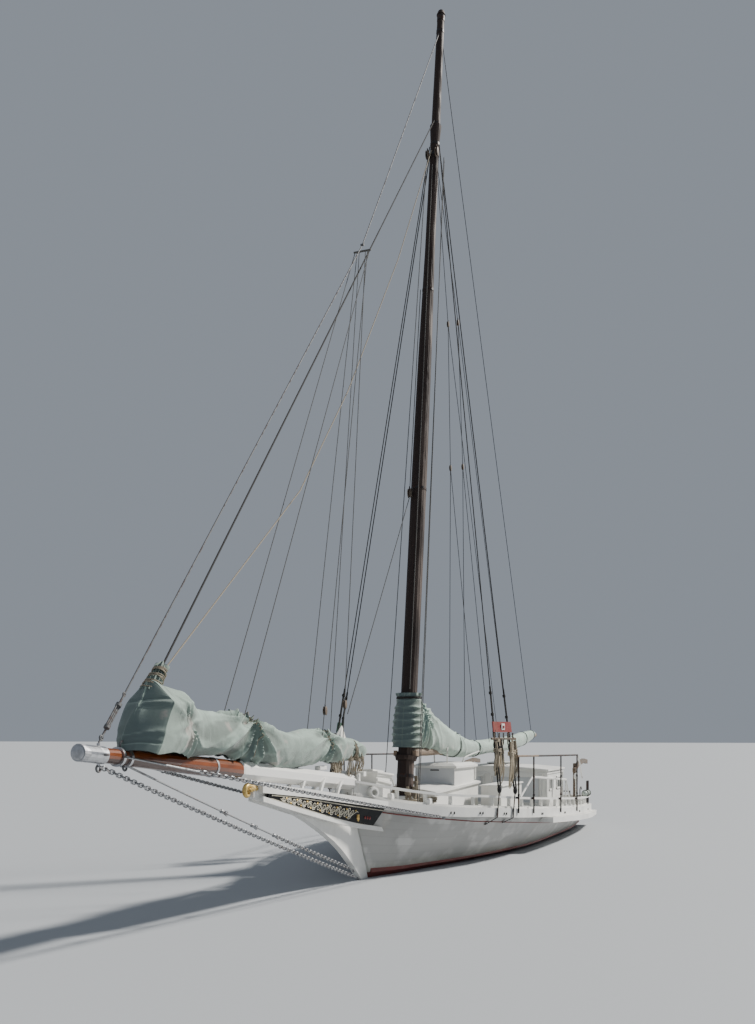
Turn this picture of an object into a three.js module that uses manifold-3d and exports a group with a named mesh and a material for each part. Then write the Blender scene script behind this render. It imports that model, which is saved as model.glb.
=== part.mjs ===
// Skipjack: a V-bottomed, centreboard work boat under bare poles, with covered sails.
// Millimetres, +X forward, +Y to port, +Z up, origin on the centreline at the waterline amidships.
// Stations are measured aft of the point where the stem meets the waterline.

import * as THREE from 'three';
import { mergeVertices } from 'three/addons/utils/BufferGeometryUtils.js';
import Module from 'manifold-3d';

const wasm = await Module();
wasm.setup();

// Driving dimensions of the hull
const ORIGIN_STATION = 6200;
const GAP = 0.3;
const PORT = 1;
const STARBOARD = -1;
const SIDES = [['port', PORT], ['starboard', STARBOARD]];
const DECK_THICKNESS = 40;
const DECK_CROWN = 60;
const TOPSIDE_BULGE = 60;
const KEEL_HALF_WIDTH = 60;
const FRAMES_PER_ROW = 3;

// Lines of the hull, one row for each main frame: station, half-breadth, height
const SHEER_LINE = [
  [-500, 80, 1480], [500, 660, 1290], [1500, 1170, 1150], [2700, 1670, 1070], [4000, 2030, 970],
  [6000, 2250, 850], [8500, 2300, 710], [10800, 2230, 600], [12750, 2060, 540],
];
const CHINE_LINE = [
  [280, 90, 120], [950, 350, 100], [1800, 650, 100], [2900, 1020, 100], [4100, 1350, 100],
  [6000, 1720, 100], [8500, 1860, 100], [10700, 1890, 100], [12450, 1800, 120],
];
const KEEL_LINE = [
  [360, 60, -100], [800, 60, -380], [1600, 60, -560], [2800, 60, -670], [4100, 60, -700],
  [6000, 60, -700], [8500, 60, -580], [10600, 60, -340], [12380, 60, -80],
];

// Driving dimensions of the rails
const RAIL_HEIGHT = 280;
const CAP_THICKNESS = 45;
const CAP_WIDTH = 130;
const LOG_RAIL_HEIGHT = 75;
const LOG_RAIL_WIDTH = 90;
const BULWARK_END = 120;
const STANCHION_STEP = 620;
const PIPE_RADIUS = 20;
const PIPE_RAIL = { first: 4050, second: 4750, third: 7850, last: 8300, rise: 440 };
const SAFETY_BAR_HEIGHT = [2145, 2085];
const SAFETY_STATIONS = [3700, 4520, 6700, 8800];

// Driving dimensions of the spars
const BOWSPRIT_TIP = -7780;
const BOWSPRIT_HEEL = -330;
const BOWSPRIT_SLOPE = -0.085;
const BOWSPRIT_HEIGHT_AT_TIP = 2370;
const OCTAGON_START = -4370;
const CAP_START = -7370;
const MAST_FOOT = [2360, 0, 700];
const MAST_TOP = [4921, 0, 18740];
const HOUNDS_HEIGHT = 16000;
const BOOM_START = [2960, 0, 2230];
const BOOM_END = [14850, 0, 2610];
const BOOM_SAG = 80;
const JAWS_HEIGHT = 2150;
const JIB_STAY_FOOT = [-7020, 0, 2415];
const JIB_STAY_TOP = 16240;
const HEADSTAY_FOOT = [-7440, 0, 2462];

// Driving dimensions of the deck houses
const TRUNK = { start: 2900, end: 6300, half: 480, eaveStart: 1420, eaveEnd: 1500, crown: 60 };
const WINDER_HOUSE = { start: 4470, end: 6100, half: 450, top: 1900 };
const BENCH = { start: 5500, end: 7600, inner: 750, outer: 1250, top: 1450 };
const HEEL_BOX = { start: 110, end: 820, half: 300, top: 1900 };
const DAVIT = { station: 12480, across: 1700, top: 1780, reach: 14450, width: 110 };
const HORSE = { station: 11700, height: 1010, radius: 18, inset: 480 };
const CABIN = { start: 9000, end: 11200, half: 1560, eave: 1660, crown: 90, wall: 45 };

// A point at a station aft of the stem, a distance to port and a height
function at(station, side, height) {
  return new THREE.Vector3(ORIGIN_STATION - station, side, height);
}

// Booleans

function solidOf(geometry) {
  const bare = geometry.clone();
  for (const name of Object.keys(bare.attributes)) {
    if (name !== 'position') bare.deleteAttribute(name);
  }
  const merged = mergeVertices(bare, 1e-3);
  const vertProperties = new Float32Array(merged.attributes.position.array);
  const triVerts = new Uint32Array(merged.index.array);
  return new wasm.Manifold(new wasm.Mesh({ numProp: 3, vertProperties, triVerts }));
}

function geometryOf(solid) {
  const mesh = solid.getMesh();
  const geometry = new THREE.BufferGeometry();
  geometry.setAttribute('position', new THREE.BufferAttribute(new Float32Array(mesh.vertProperties), 3));
  geometry.setIndex(new THREE.BufferAttribute(new Uint32Array(mesh.triVerts), 1));
  return geometry;
}

function join(...geometries) {
  return geometryOf(geometries.map(solidOf).reduce((whole, next) => whole.add(next)));
}

function cut(geometry, ...tools) {
  return geometryOf(tools.map(solidOf).reduce((whole, next) => whole.subtract(next), solidOf(geometry)));
}

// Solids

// The corners of a ring as seen along the direction that it faces most
function flattened(ring) {
  const facing = new THREE.Vector3();
  ring.forEach((point, i) => facing.add(point.clone().cross(ring[(i + 1) % ring.length])));
  const [x, y, z] = facing.toArray().map(Math.abs);
  if (x >= y && x >= z) return ring.map((point) => new THREE.Vector2(point.y, point.z));
  if (y >= z) return ring.map((point) => new THREE.Vector2(point.x, point.z));
  return ring.map((point) => new THREE.Vector2(point.x, point.y));
}

// Triangles that close a ring, wound as the ring runs
function capOf(ring) {
  const flat = flattened(ring);
  const wound = (corners) => THREE.ShapeUtils.area(corners) > 0;
  return THREE.ShapeUtils.triangulateShape(flat, []).map((face) => {
    return wound(face.map((corner) => flat[corner])) === wound(flat) ? face : [...face].reverse();
  });
}

// A skin over closed rings of equal length, capped at both ends, with its faces turned outwards
function loft(rings) {
  const count = rings[0].length;
  const corners = rings.flat().flatMap((point) => [point.x, point.y, point.z]);
  const faces = [];
  for (let ring = 0; ring + 1 < rings.length; ring += 1) {
    for (let corner = 0; corner < count; corner += 1) {
      const next = (corner + 1) % count;
      const [a, b] = [ring * count + corner, ring * count + next];
      faces.push(a, b, b + count, a, b + count, a + count);
    }
  }
  const last = (rings.length - 1) * count;
  capOf(rings[0]).forEach(([a, b, c]) => faces.push(c, b, a));
  capOf(rings.at(-1)).forEach(([a, b, c]) => faces.push(last + a, last + b, last + c));
  const geometry = new THREE.BufferGeometry();
  geometry.setAttribute('position', new THREE.Float32BufferAttribute(corners, 3));
  geometry.setIndex(faces);
  return facingOut(geometry);
}

function facingOut(geometry) {
  const { position } = geometry.attributes;
  const index = geometry.index.array;
  const [a, b, c] = [new THREE.Vector3(), new THREE.Vector3(), new THREE.Vector3()];
  let volume = 0;
  for (let i = 0; i < index.length; i += 3) {
    a.fromBufferAttribute(position, index[i]);
    b.fromBufferAttribute(position, index[i + 1]);
    c.fromBufferAttribute(position, index[i + 2]);
    volume += a.dot(b.cross(c));
  }
  if (volume < 0) {
    for (let i = 0; i < index.length; i += 3) {
      [index[i], index[i + 2]] = [index[i + 2], index[i]];
    }
  }
  return geometry;
}

function block(stations, sides, heights) {
  const low = at(stations[1], sides[0], heights[0]);
  const high = at(stations[0], sides[1], heights[1]);
  const size = high.clone().sub(low);
  const middle = low.clone().add(high).multiplyScalar(0.5);
  return new THREE.BoxGeometry(size.x, size.y, size.z).translate(middle.x, middle.y, middle.z);
}

// A round bar or cone from one point to another
function rod(from, to, startRadius, endRadius = startRadius, sides = 10) {
  const run = to.clone().sub(from);
  const geometry = new THREE.CylinderGeometry(endRadius, startRadius, run.length(), sides);
  const turn = new THREE.Quaternion().setFromUnitVectors(new THREE.Vector3(0, 1, 0),
    run.clone().normalize());
  const middle = from.clone().add(to).multiplyScalar(0.5);
  return geometry.applyQuaternion(turn).translate(middle.x, middle.y, middle.z);
}

// A rectangular section carried along a path, its sides upright: points, width and height
function beam(path, width, height) {
  const rings = path.map((point, index) => {
    const before = path[Math.max(index - 1, 0)];
    const after = path[Math.min(index + 1, path.length - 1)];
    const run = after.clone().sub(before);
    const side = new THREE.Vector3(-run.y, run.x, 0).normalize().multiplyScalar(width / 2);
    const low = point.clone().setZ(point.z - height / 2);
    const high = point.clone().setZ(point.z + height / 2);
    return [low.clone().sub(side), low.clone().add(side), high.clone().add(side), high.clone().sub(side)];
  });
  return loft(rings);
}

// A flat outline of stations and heights, given a thickness across the centreline
function plate(outline, thickness, side = 0) {
  const shape = new THREE.Shape(outline.map(([station, height]) => new THREE.Vector2(-station, height)));
  const geometry = new THREE.ExtrudeGeometry(shape, { depth: thickness, bevelEnabled: false,
    curveSegments: 8 });
  geometry.rotateX(Math.PI / 2);
  return geometry.translate(ORIGIN_STATION, side + thickness / 2, 0);
}

function mirrored(geometry) {
  const copy = geometry.clone().scale(1, -1, 1);
  if (!copy.index) return facingOut(mergeVertices(copy, 1e-3));
  return facingOut(copy);
}

function onSide(geometry, side) {
  return side === PORT ? geometry : mirrored(geometry);
}

// Lines and surfaces of the hull

// The point of a line at a row number that may lie between two rows, on a smooth curve
function faired(rows, place) {
  const curve = new THREE.CatmullRomCurve3(rows.map((row) => new THREE.Vector3(...row)), false,
    'catmullrom');
  return curve.getPoint(place / (rows.length - 1));
}

const lastRow = SHEER_LINE.length - 1;
const framePlaces = Array.from({ length: lastRow * FRAMES_PER_ROW + 1 }, (unused, i) => i / FRAMES_PER_ROW);

// The row number at which a line reaches a station
function placeOf(rows, station) {
  let [low, high] = [0, rows.length - 1];
  for (let step = 0; step < 30; step += 1) {
    const middle = (low + high) / 2;
    if (faired(rows, middle).x < station) low = middle;
    else high = middle;
  }
  return (low + high) / 2;
}

// Half-breadth and height of the sheer at a station
function sheerAt(station) {
  const { y, z } = faired(SHEER_LINE, placeOf(SHEER_LINE, station));
  return { half: y, height: z };
}

// Half-breadth of the topside at a station and height, between the chine and the sheer
function topsideAt(station, height) {
  const sheer = sheerAt(station);
  const chine = faired(CHINE_LINE, placeOf(CHINE_LINE, station));
  const part = (height - chine.z) / (sheer.height - chine.z);
  return chine.y + (sheer.half - chine.y) * part + TOPSIDE_BULGE * 4 * part * (1 - part);
}

function deckHeight(station, side) {
  const sheer = sheerAt(station);
  const part = Math.min(Math.abs(side) / sheer.half, 1);
  return sheer.height + DECK_CROWN * (1 - part * part) + DECK_THICKNESS + GAP;
}

// The rings of the hull, drawn out by a skin where it is used to trim what lies against it
function hullRings(skin) {
  return framePlaces.map((place) => {
    const sheer = faired(SHEER_LINE, place);
    const chine = faired(CHINE_LINE, place);
    const keel = faired(KEEL_LINE, place);
    const endward = place === 0 ? -skin : place === lastRow ? skin : 0;
    const bulge = TOPSIDE_BULGE * Math.sin((Math.PI * place) / lastRow) ** 0.5;
    const half = [
      [sheer.x, sheer.y + skin, sheer.z],
      ...[0.7, 0.35].map((part) => [
        chine.x + (sheer.x - chine.x) * part,
        chine.y + (sheer.y - chine.y) * part + bulge * 4 * part * (1 - part) + skin,
        chine.z + (sheer.z - chine.z) * part,
      ]),
      [chine.x, chine.y + skin, chine.z],
      [keel.x, KEEL_HALF_WIDTH + skin, keel.z - skin],
    ];
    const crown = [-0.5, 0, 0.5].map((part) => [
      sheer.x, sheer.y * part, sheer.z + DECK_CROWN * (1 - part * part),
    ]);
    const port = half.map(([station, side, height]) => at(station + endward, side, height));
    const starboard = half.map(([station, side, height]) => at(station + endward, -side, height)).reverse();
    const top = crown.map(([station, side, height]) => at(station + endward, side, height));
    return [...port, ...starboard, ...top];
  });
}

// The deck as rings from edge to edge, from one height above the hull's top to another,
// with a level margin round it where it is used to trim what stands on it
function deckRings(low, high, margin) {
  const parts = [-1, -0.5, 0, 0.5, 1];
  const ringAt = (place, endward) => {
    const sheer = faired(SHEER_LINE, place);
    const row = (rise) => {
      const points = parts.map((part) => at(
        sheer.x + endward, sheer.y * part, sheer.z + DECK_CROWN * (1 - part * part) + rise,
      ));
      if (margin === 0) return points;
      const edge = (side) => at(sheer.x + endward, side * (sheer.y + margin), sheer.z + rise);
      return [edge(-1), ...points, edge(1)];
    };
    return [...row(low), ...row(high).reverse()];
  };
  const rings = framePlaces.map((place) => ringAt(place, 0));
  return margin === 0 ? rings : [ringAt(0, -margin), ...rings, ringAt(lastRow, margin)];
}

const hullSkin = loft(hullRings(0.4));
const underDeck = loft(deckRings(-1500, DECK_THICKNESS + 2 * GAP, 60));
const deckEdge = loft(deckRings(-500, DECK_THICKNESS + 2 * GAP, 0.4));

function onDeck(geometry) {
  return cut(geometry, underDeck);
}

// Materials: colour, roughness and metalness
const finishes = {
  white: [0xe9e7de, 0.55, 0],
  cream: [0xe6dfc8, 0.55, 0],
  bottom: [0x5a1512, 0.7, 0],
  varnish: [0x8f4a1c, 0.3, 0],
  mast: [0x2b1d1a, 0.6, 0],
  bare: [0x7d6a54, 0.8, 0],
  black: [0x15161a, 0.5, 0],
  rope: [0x83776a, 0.9, 0],
  iron: [0x2a2a2c, 0.6, 0.6],
  galvanised: [0x8d9093, 0.45, 0.8],
  silver: [0xb9bcc0, 0.35, 0.9],
  gold: [0xc79a3a, 0.35, 0.6],
  red: [0xb2342c, 0.6, 0],
  canvas: [0x9fb8a4, 0.9, 0],
  deck: [0xcfcdc4, 0.8, 0],
};

const skipjack = new THREE.Group();

function add(name, finish, geometry) {
  const [color, roughness, metalness] = finishes[finish];
  const mesh = new THREE.Mesh(geometry, new THREE.MeshStandardMaterial({ color, roughness, metalness }));
  mesh.name = name;
  skipjack.add(mesh);
}

// Hull, keel and centreboard

const BOARD = { start: 4350, end: 8050, low: -930, high: 250, thickness: 60 };
const BOARD_PIVOT = [4520, 0, -800];
const SLOT = { start: 4150, end: 8150, high: 400, width: 84 };
const KEEL_BOTTOM = -950;
const RUDDER_RAKE = (12750 - 12380) / (540 + 80);
const KEEL_HEEL = 12380 + (KEEL_BOTTOM + 80) * RUDDER_RAKE;

const slot = block([SLOT.start, SLOT.end], [-SLOT.width / 2, SLOT.width / 2], [-1200, SLOT.high]);

function hull() {
  return cut(loft(hullRings(0)), slot);
}

const SHOE_TOP = KEEL_BOTTOM + 45;
const STOCK_FOOT = KEEL_BOTTOM + 100;
const STOCK_RADIUS = 68;
const RUDDER_OFFSET = 110;
const rudderLine = new THREE.Vector3(-RUDDER_RAKE, 0, 1).normalize();
const rudderFoot = at(KEEL_HEEL + RUDDER_OFFSET, 0, KEEL_BOTTOM);

function rudderPoint(height, along = 0) {
  return rudderFoot.clone().addScaledVector(rudderLine, (height - KEEL_BOTTOM) / rudderLine.z + along);
}

// The keel with the pin of the centreboard and, at its heel, the bearing under the rudder's stock
function keel() {
  const outline = [
    [350, -475], [700, -640], [1300, -800], [2200, -900], [3400, KEEL_BOTTOM], [KEEL_HEEL + 200,
      KEEL_BOTTOM],
    [KEEL_HEEL + 200, SHOE_TOP], [KEEL_HEEL + 25, SHOE_TOP], [12380, -80], [12380, 0], [350, 0],
  ];
  const timber = cut(plate(outline, 150), hullSkin, slot);
  const pin = rod(at(BOARD_PIVOT[0], -60, BOARD_PIVOT[2]), at(BOARD_PIVOT[0], 60, BOARD_PIVOT[2]), 25, 25,
    16);
  const bearing = rod(rudderPoint(STOCK_FOOT, -60), rudderPoint(STOCK_FOOT, -GAP), STOCK_RADIUS + 4,
    STOCK_RADIUS + 4, 20);
  return join(timber, pin, bearing);
}

function centreboard() {
  const outline = [
    [BOARD.start, BOARD.low + 130], [BOARD.start + 130, BOARD.low], [BOARD.end, BOARD.low],
    [BOARD.end, BOARD.high - 260], [BOARD.end - 160, BOARD.high], [BOARD.start + 420, BOARD.high],
    [BOARD.start, BOARD.high - 420],
  ];
  const hole = rod(at(BOARD_PIVOT[0], -60, BOARD_PIVOT[2]), at(BOARD_PIVOT[0], 60, BOARD_PIVOT[2]), 26, 26,
    16);
  return cut(plate(outline, BOARD.thickness), hole);
}

add('hull', 'white', hull());
add('keel', 'bottom', keel());
add('centreboard', 'bottom', centreboard());
add('deck', 'deck', loft(deckRings(GAP, DECK_THICKNESS + GAP, 0)));

// Stem, cutwater and head

const HEAD_THICKNESS = 110;
const HEAD_FRONT = -4020;
const cutwaterEdge = new THREE.SplineCurve([
  [HEAD_FRONT, 1690], [-3200, 1500], [-2400, 1280], [-1250, 820], [-610, 460], [-200, 170], [0, 0], [240,
    -330],
].map((point) => new THREE.Vector2(...point))).getPoints(16).map(({ x, y }) => [x, y]);

function headShape() {
  const outline = [
    ...cutwaterEdge, [349, -472], [349, -40], [500, 0], [500, 900], [-150, 1440], [-1500, 1545],
    [-2600, 1690], [-3500, 1795], [HEAD_FRONT, 1830],
  ];
  return plate(outline, HEAD_THICKNESS);
}

const WALE = { start: -480, end: 12745, outward: 60, low: -110, high: 75 };

const STRAKE_ROOT = 25;

// A strake along the topside: how far it stands out from the sheer, its heights above the sheer,
// and a margin all round it where it is used to trim what lies against it
function strake(start, end, { outward, low, high }, steps, margin = 0) {
  const rings = Array.from({ length: steps + 1 }, (unused, index) => {
    const station = start + ((end - start) * index) / steps;
    const { half, height } = sheerAt(station);
    const root = half - STRAKE_ROOT - margin;
    const foot = Math.min(topsideAt(Math.max(station, 300), height + low) - STRAKE_ROOT - margin, root);
    const [bottom, top] = [height + low - margin, height + high + margin];
    const face = half + outward + margin;
    return [at(station, foot, bottom), at(station, face, bottom), at(station, face, top),
      at(station, root, top)];
  });
  return loft(rings);
}

function waleShape(side, margin) {
  return onSide(strake(WALE.start, WALE.end, WALE, 22, margin), side);
}

const UPPER_RAIL = { width: 90, height: 130 };
const LOWER_RAIL = { width: 70, height: 75 };
// Station, distance from the centreline and height
const upperRailPath = [[-3900, 96, 1815], [-2600, 175, 1680], [-1200, 330, 1500], [0, 530, 1340],
  [690, 868, 1250]];
const lowerRailPath = [[-3850, 86, 1660], [-2600, 120, 1400], [-1400, 150, 1160], [-500, 200, 1000],
  [300, 330, 880]];
const upperRail = upperRailPath.map((point) => at(...point));
const lowerRail = lowerRailPath.map((point) => at(...point));

// The point of a path at a station
function pointAt(path, station) {
  const x = ORIGIN_STATION - station;
  const index = path.findIndex((point, i) => i + 1 < path.length && path[i + 1].x <= x);
  const [from, to] = [path[index], path[index + 1]];
  return from.clone().lerp(to, (from.x - x) / (from.x - to.x));
}

function headrailShape(path, { width, height }, side, margin) {
  return onSide(beam(path, width + 2 * margin, height + 2 * margin), side);
}

function headrail(path, size, side) {
  const knee = block([-4300, 1000], [-HEAD_THICKNESS / 2 - GAP, HEAD_THICKNESS / 2 + GAP], [700, 2200]);
  return cut(headrailShape(path, size, side, 0), hullSkin, waleShape(side, GAP), knee);
}

const TRAILBOARD_THICKNESS = 22;

function trailboard(side) {
  const stations = [-3700, -2600, -1400, -1200, -500, -60];
  const rings = stations.map((station) => {
    const [high, low] = [pointAt(upperRail, station), pointAt(lowerRail, station)];
    const [top, bottom] = [high.z - UPPER_RAIL.height / 2 + 20, low.z + LOWER_RAIL.height / 2 - 20];
    const [outTop, outBottom] = [high.y + 22, low.y + 18];
    return [
      at(station, outBottom - TRAILBOARD_THICKNESS, bottom), at(station, outBottom, bottom),
      at(station, outTop, top), at(station, outTop - TRAILBOARD_THICKNESS, top),
    ];
  });
  const rails = [[upperRail, UPPER_RAIL], [lowerRail, LOWER_RAIL]];
  const ways = rails.map(([path, size]) => headrailShape(path, size, side, GAP));
  return cut(onSide(loft(rings), side), hullSkin, waleShape(side, GAP), ...ways);
}

function billetHead() {
  // Radius and distance ahead of the cutwater
  const profile = [[0, GAP], [66, GAP], [58, 80], [88, 140], [98, 210], [72, 300], [0, 350]];
  const scroll = new THREE.LatheGeometry(profile.map(([r, h]) => new THREE.Vector2(r, h)), 12);
  const { x, z } = at(HEAD_FRONT, 0, 1762);
  return scroll.rotateZ(-Math.PI / 2).translate(x, 0, z);
}

add('stem_cutwater', 'white', cut(headShape(), hullSkin, deckEdge));
add('billet_head', 'gold', billetHead());
for (const [label, side] of SIDES) {
  add(`wale_${label}`, 'white', cut(waleShape(side, 0), hullSkin, deckEdge, bowspritBed(GAP)));
  add(`headrail_upper_${label}`, 'cream', headrail(upperRail, UPPER_RAIL, side));
  add(`headrail_lower_${label}`, 'cream', headrail(lowerRail, LOWER_RAIL, side));
  add(`trailboard_${label}`, 'black', trailboard(side));
}

// Rudder, and the guard round the stern quarters

function rudder() {
  const stock = rod(rudderPoint(STOCK_FOOT), rudderPoint(700), STOCK_RADIUS, STOCK_RADIUS, 20);
  const foot = ORIGIN_STATION - rudderPoint(STOCK_FOOT).x;
  const outline = [
    [foot, STOCK_FOOT + 40], [foot + 170, STOCK_FOOT + 40], [foot + 240, SHOE_TOP], [foot + 820,
      SHOE_TOP + 20],
    [foot + 1060, SHOE_TOP + 270], [foot + 1070, -250], [foot + 950, -60], [foot + 570, 30],
  ];
  return join(stock, plate(outline, 60));
}

const GUARD = { start: 5500, end: 12800, outward: 200, low: -235, high: -115 };

function sternGuard() {
  const { start, end, low, high } = GUARD;
  const side = strake(start, end, GUARD, 14);
  const { half, height } = sheerAt(12750);
  const across = block([12700, 12860], [-half - 150, half + 150], [height + low, height + high]);
  const stockWay = rod(rudderPoint(-900), rudderPoint(1500), STOCK_RADIUS + 8, STOCK_RADIUS + 8, 20);
  return cut(join(side, mirrored(side), across), hullSkin, stockWay);
}

add('rudder', 'bottom', rudder());
add('stern_guard', 'white', sternGuard());

// Bowsprit and its rigging

function bowspritPoint(station, side = 0, rise = 0) {
  return at(station, side, BOWSPRIT_HEIGHT_AT_TIP + BOWSPRIT_SLOPE * (station - BOWSPRIT_TIP) + rise);
}

function bowspritShape(margin) {
  // Station and radius of the round part
  const round = [[CAP_START - 250, 80], [-6200, 108], [-5100, 128], [OCTAGON_START - 60, 130]];
  const ring = (station, radius, sides, turn) => Array.from({ length: sides }, (unused, index) => {
    const angle = ((index + turn) * 2 * Math.PI) / sides;
    return bowspritPoint(station, radius * Math.sin(angle), radius * Math.cos(angle));
  });
  const spar = loft(round.map(([station, radius], index) => {
    return ring(index === 0 ? station - margin : station, radius + margin, 16, 0);
  }));
  const heel = loft([[OCTAGON_START - 70, 128], [OCTAGON_START, 140], [BOWSPRIT_HEEL + margin, 140]].map(
    ([station, radius]) => ring(station, radius + margin, 8, 0.5),
  ));
  return join(spar, heel);
}

function bowspritBed(margin) {
  return block([-510 - margin, BOWSPRIT_HEEL - 20 + margin], [-90 - margin, 90 + margin],
    [1450, 1640 + margin]);
}

function bowsprit() {
  return cut(join(bowspritShape(0), bowspritBed(0)), underDeck, hullSkin);
}

function capEyes(margin) {
  return [-1, 1].map((way) => rod(bowspritPoint(HEADSTAY_FOOT[0], 0, way * 60),
    bowspritPoint(HEADSTAY_FOOT[0], 0, way * (125 + margin)), 18 + margin, 18 + margin, 8));
}

function bowspritCap() {
  const tube = rod(bowspritPoint(BOWSPRIT_TIP), bowspritPoint(CAP_START), 96, 98, 20);
  return cut(join(tube, ...capEyes(0)), bowspritShape(GAP));
}

const BITT = { start: -300, end: -120, half: 85, top: 1990 };

function bowspritBitt() {
  const post = block([BITT.start, BITT.end], [-BITT.half, BITT.half], [1300, BITT.top]);
  const crosspiece = block([BITT.start + 30, BITT.end - 30], [-210, 210], [1850, 1930]);
  return onDeck(join(post, crosspiece));
}

function bobstay(from, to) {
  return cut(rod(from, to, 16, 16, 8), headShape().translate(GAP, 0, -GAP), bowspritShape(GAP),
    ...capEyes(GAP));
}

const SHROUD_EYE = { station: 1480, height: 1030 };

function bowspritShroud(side) {
  const { station, height } = SHROUD_EYE;
  const eye = at(station, topsideAt(station, height), height);
  const wire = onSide(rod(bowspritPoint(-7100, 104), eye, 15, 15, 8), side);
  return cut(wire, hullSkin, bowspritShape(GAP), waleShape(side, GAP));
}

add('bowsprit', 'varnish', bowsprit());
add('bowsprit_cap', 'silver', bowspritCap());
add('bowsprit_bitt', 'white', bowspritBitt());
add('bobstay_lower', 'galvanised', bobstay(bowspritPoint(HEADSTAY_FOOT[0], 0, -120), at(-20, 0, 30)));
add('bobstay_upper', 'galvanised', bobstay(bowspritPoint(-6960, 0, -80), at(-215, 0, 195)));
add('bowsprit_shroud_port', 'galvanised', bowspritShroud(PORT));
add('bowsprit_shroud_starboard', 'galvanised', bowspritShroud(STARBOARD));

// Rails and bulwarks

const DECK_TOP = DECK_THICKNESS + GAP;
const RAIL_END = 12700;
const HAWSE = { station: -120, radius: 55, rise: 145 };

function edgePath(start, end, inset, rise, steps) {
  return Array.from({ length: steps + 1 }, (unused, index) => {
    const station = start + ((end - start) * index) / steps;
    const { half, height } = sheerAt(station);
    return at(station, half - inset, height + rise);
  });
}

// A white pipe rail that stands on the cap beside the after deck
function pipeRail() {
  const { first, second, third, last, rise } = PIPE_RAIL;
  const onCap = (station) => {
    const { half, height } = sheerAt(station);
    return at(station, half - 30, height + DECK_TOP + RAIL_HEIGHT - 10);
  };
  const above = (station) => onCap(station).add(new THREE.Vector3(0, 0, rise));
  const corners = [onCap(first), above(second), above(6300), above(third), onCap(last)];
  const runs = corners.slice(1).map((corner, index) => rod(corners[index], corner, PIPE_RADIUS, PIPE_RADIUS,
    6));
  const uprights = [second + 100, 6300, third - 50].map((station) => {
    return rod(onCap(station), above(station), PIPE_RADIUS - 4, PIPE_RADIUS - 4, 6);
  });
  const knuckles = corners.slice(1, 4).map(({ x, y, z }) => {
    return new THREE.IcosahedronGeometry(PIPE_RADIUS * 1.06, 0).translate(x, y, z);
  });
  return [...runs, ...uprights, ...knuckles];
}

function railing(side) {
  const log = beam(edgePath(-440, RAIL_END, 50, DECK_TOP + LOG_RAIL_HEIGHT / 2, 22), LOG_RAIL_WIDTH,
    LOG_RAIL_HEIGHT);
  const cap = beam(edgePath(-440, RAIL_END, 30, DECK_TOP + RAIL_HEIGHT - CAP_THICKNESS / 2, 22), CAP_WIDTH,
    CAP_THICKNESS);
  const posts = [];
  for (let station = BULWARK_END + STANCHION_STEP / 2; station < 12600; station += STANCHION_STEP) {
    const { half, height } = sheerAt(station);
    posts.push(block([station - 30, station + 30], [half - 80, half - 20],
      [height + DECK_TOP + LOG_RAIL_HEIGHT - 5, height + DECK_TOP + RAIL_HEIGHT - CAP_THICKNESS + 5]));
  }
  const bulwark = beam(edgePath(-440, BULWARK_END, 45, DECK_TOP + RAIL_HEIGHT / 2, 4), 55, RAIL_HEIGHT - 20);
  const { half, height } = sheerAt(HAWSE.station);
  const middle = height + DECK_TOP + HAWSE.rise;
  const hole = rod(at(HAWSE.station + 250, half - 300, middle), at(HAWSE.station - 250, half + 260, middle),
    HAWSE.radius, HAWSE.radius, 16);
  const whole = cut(join(log, cap, bulwark, ...posts, ...pipeRail()), hole);
  return cut(onSide(whole, side), underDeck, waleShape(side, GAP), bowspritShape(GAP), bowspritBed(GAP));
}

const rails = SIDES.map(([label, side]) => [`rail_${label}`, railing(side)]);

function sternRail() {
  const { half, height } = sheerAt(12660);
  const deckTop = height + DECK_TOP;
  const reach = half - 102;
  const cap = block([12590, 12710], [-reach, reach], [deckTop + RAIL_HEIGHT - CAP_THICKNESS,
    deckTop + RAIL_HEIGHT]);
  const board = block([12620, 12665], [-reach, reach], [deckTop - 40,
    deckTop + RAIL_HEIGHT - CAP_THICKNESS + 5]);
  return onDeck(join(cap, board));
}

// Iron posts with a wooden bar along the side decks
function safetyRail(side) {
  const [firstHeight, lastHeight] = SAFETY_BAR_HEIGHT;
  const [first, last] = [SAFETY_STATIONS[0], SAFETY_STATIONS.at(-1)];
  const slope = (lastHeight - firstHeight) / (last - first);
  const barHeight = (station) => firstHeight + slope * (station - first);
  const outward = WALE.outward + 18;
  const bar = Array.from({ length: 6 }, (unused, index) => {
    const station = first - 60 + ((last - first + 120) * index) / 5;
    return at(station, sheerAt(station).half + outward, barHeight(station));
  });
  const fixings = SAFETY_STATIONS.flatMap((station) => {
    const { half, height } = sheerAt(station);
    const capHeight = height + DECK_TOP + RAIL_HEIGHT - CAP_THICKNESS;
    return [
      rod(at(station, half + outward, height - 20), at(station, half + outward, barHeight(station)), 17, 17,
        8),
      block([station - 30, station + 30], [half + 40, half + outward],
        [capHeight, capHeight + CAP_THICKNESS]),
    ];
  });
  const capWay = beam(edgePath(-440, RAIL_END, 30, DECK_TOP + RAIL_HEIGHT - CAP_THICKNESS / 2, 22),
    CAP_WIDTH + 2 * GAP,
    CAP_THICKNESS + 20);
  return cut(onSide(join(beam(bar, 44, 40), ...fixings), side), waleShape(side, GAP), onSide(capWay, side));
}

for (const [name, geometry] of rails) {
  add(name, 'white', geometry);
}
add('stern_rail', 'white', sternRail());
add('safety_rail_port', 'iron', safetyRail(PORT));
add('safety_rail_starboard', 'iron', safetyRail(STARBOARD));

// Mast and standing rigging

// Height above the waterline and radius of the mast
const MAST_SIZES = [[700, 172], [3000, 166], [8200, 160], [10600, 142], [13100, 107], [16000, 96],
  [18740, 78]];
const mastFoot = at(...MAST_FOOT);
const mastTop = at(...MAST_TOP);
const mastLine = mastTop.clone().sub(mastFoot).normalize();

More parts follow.
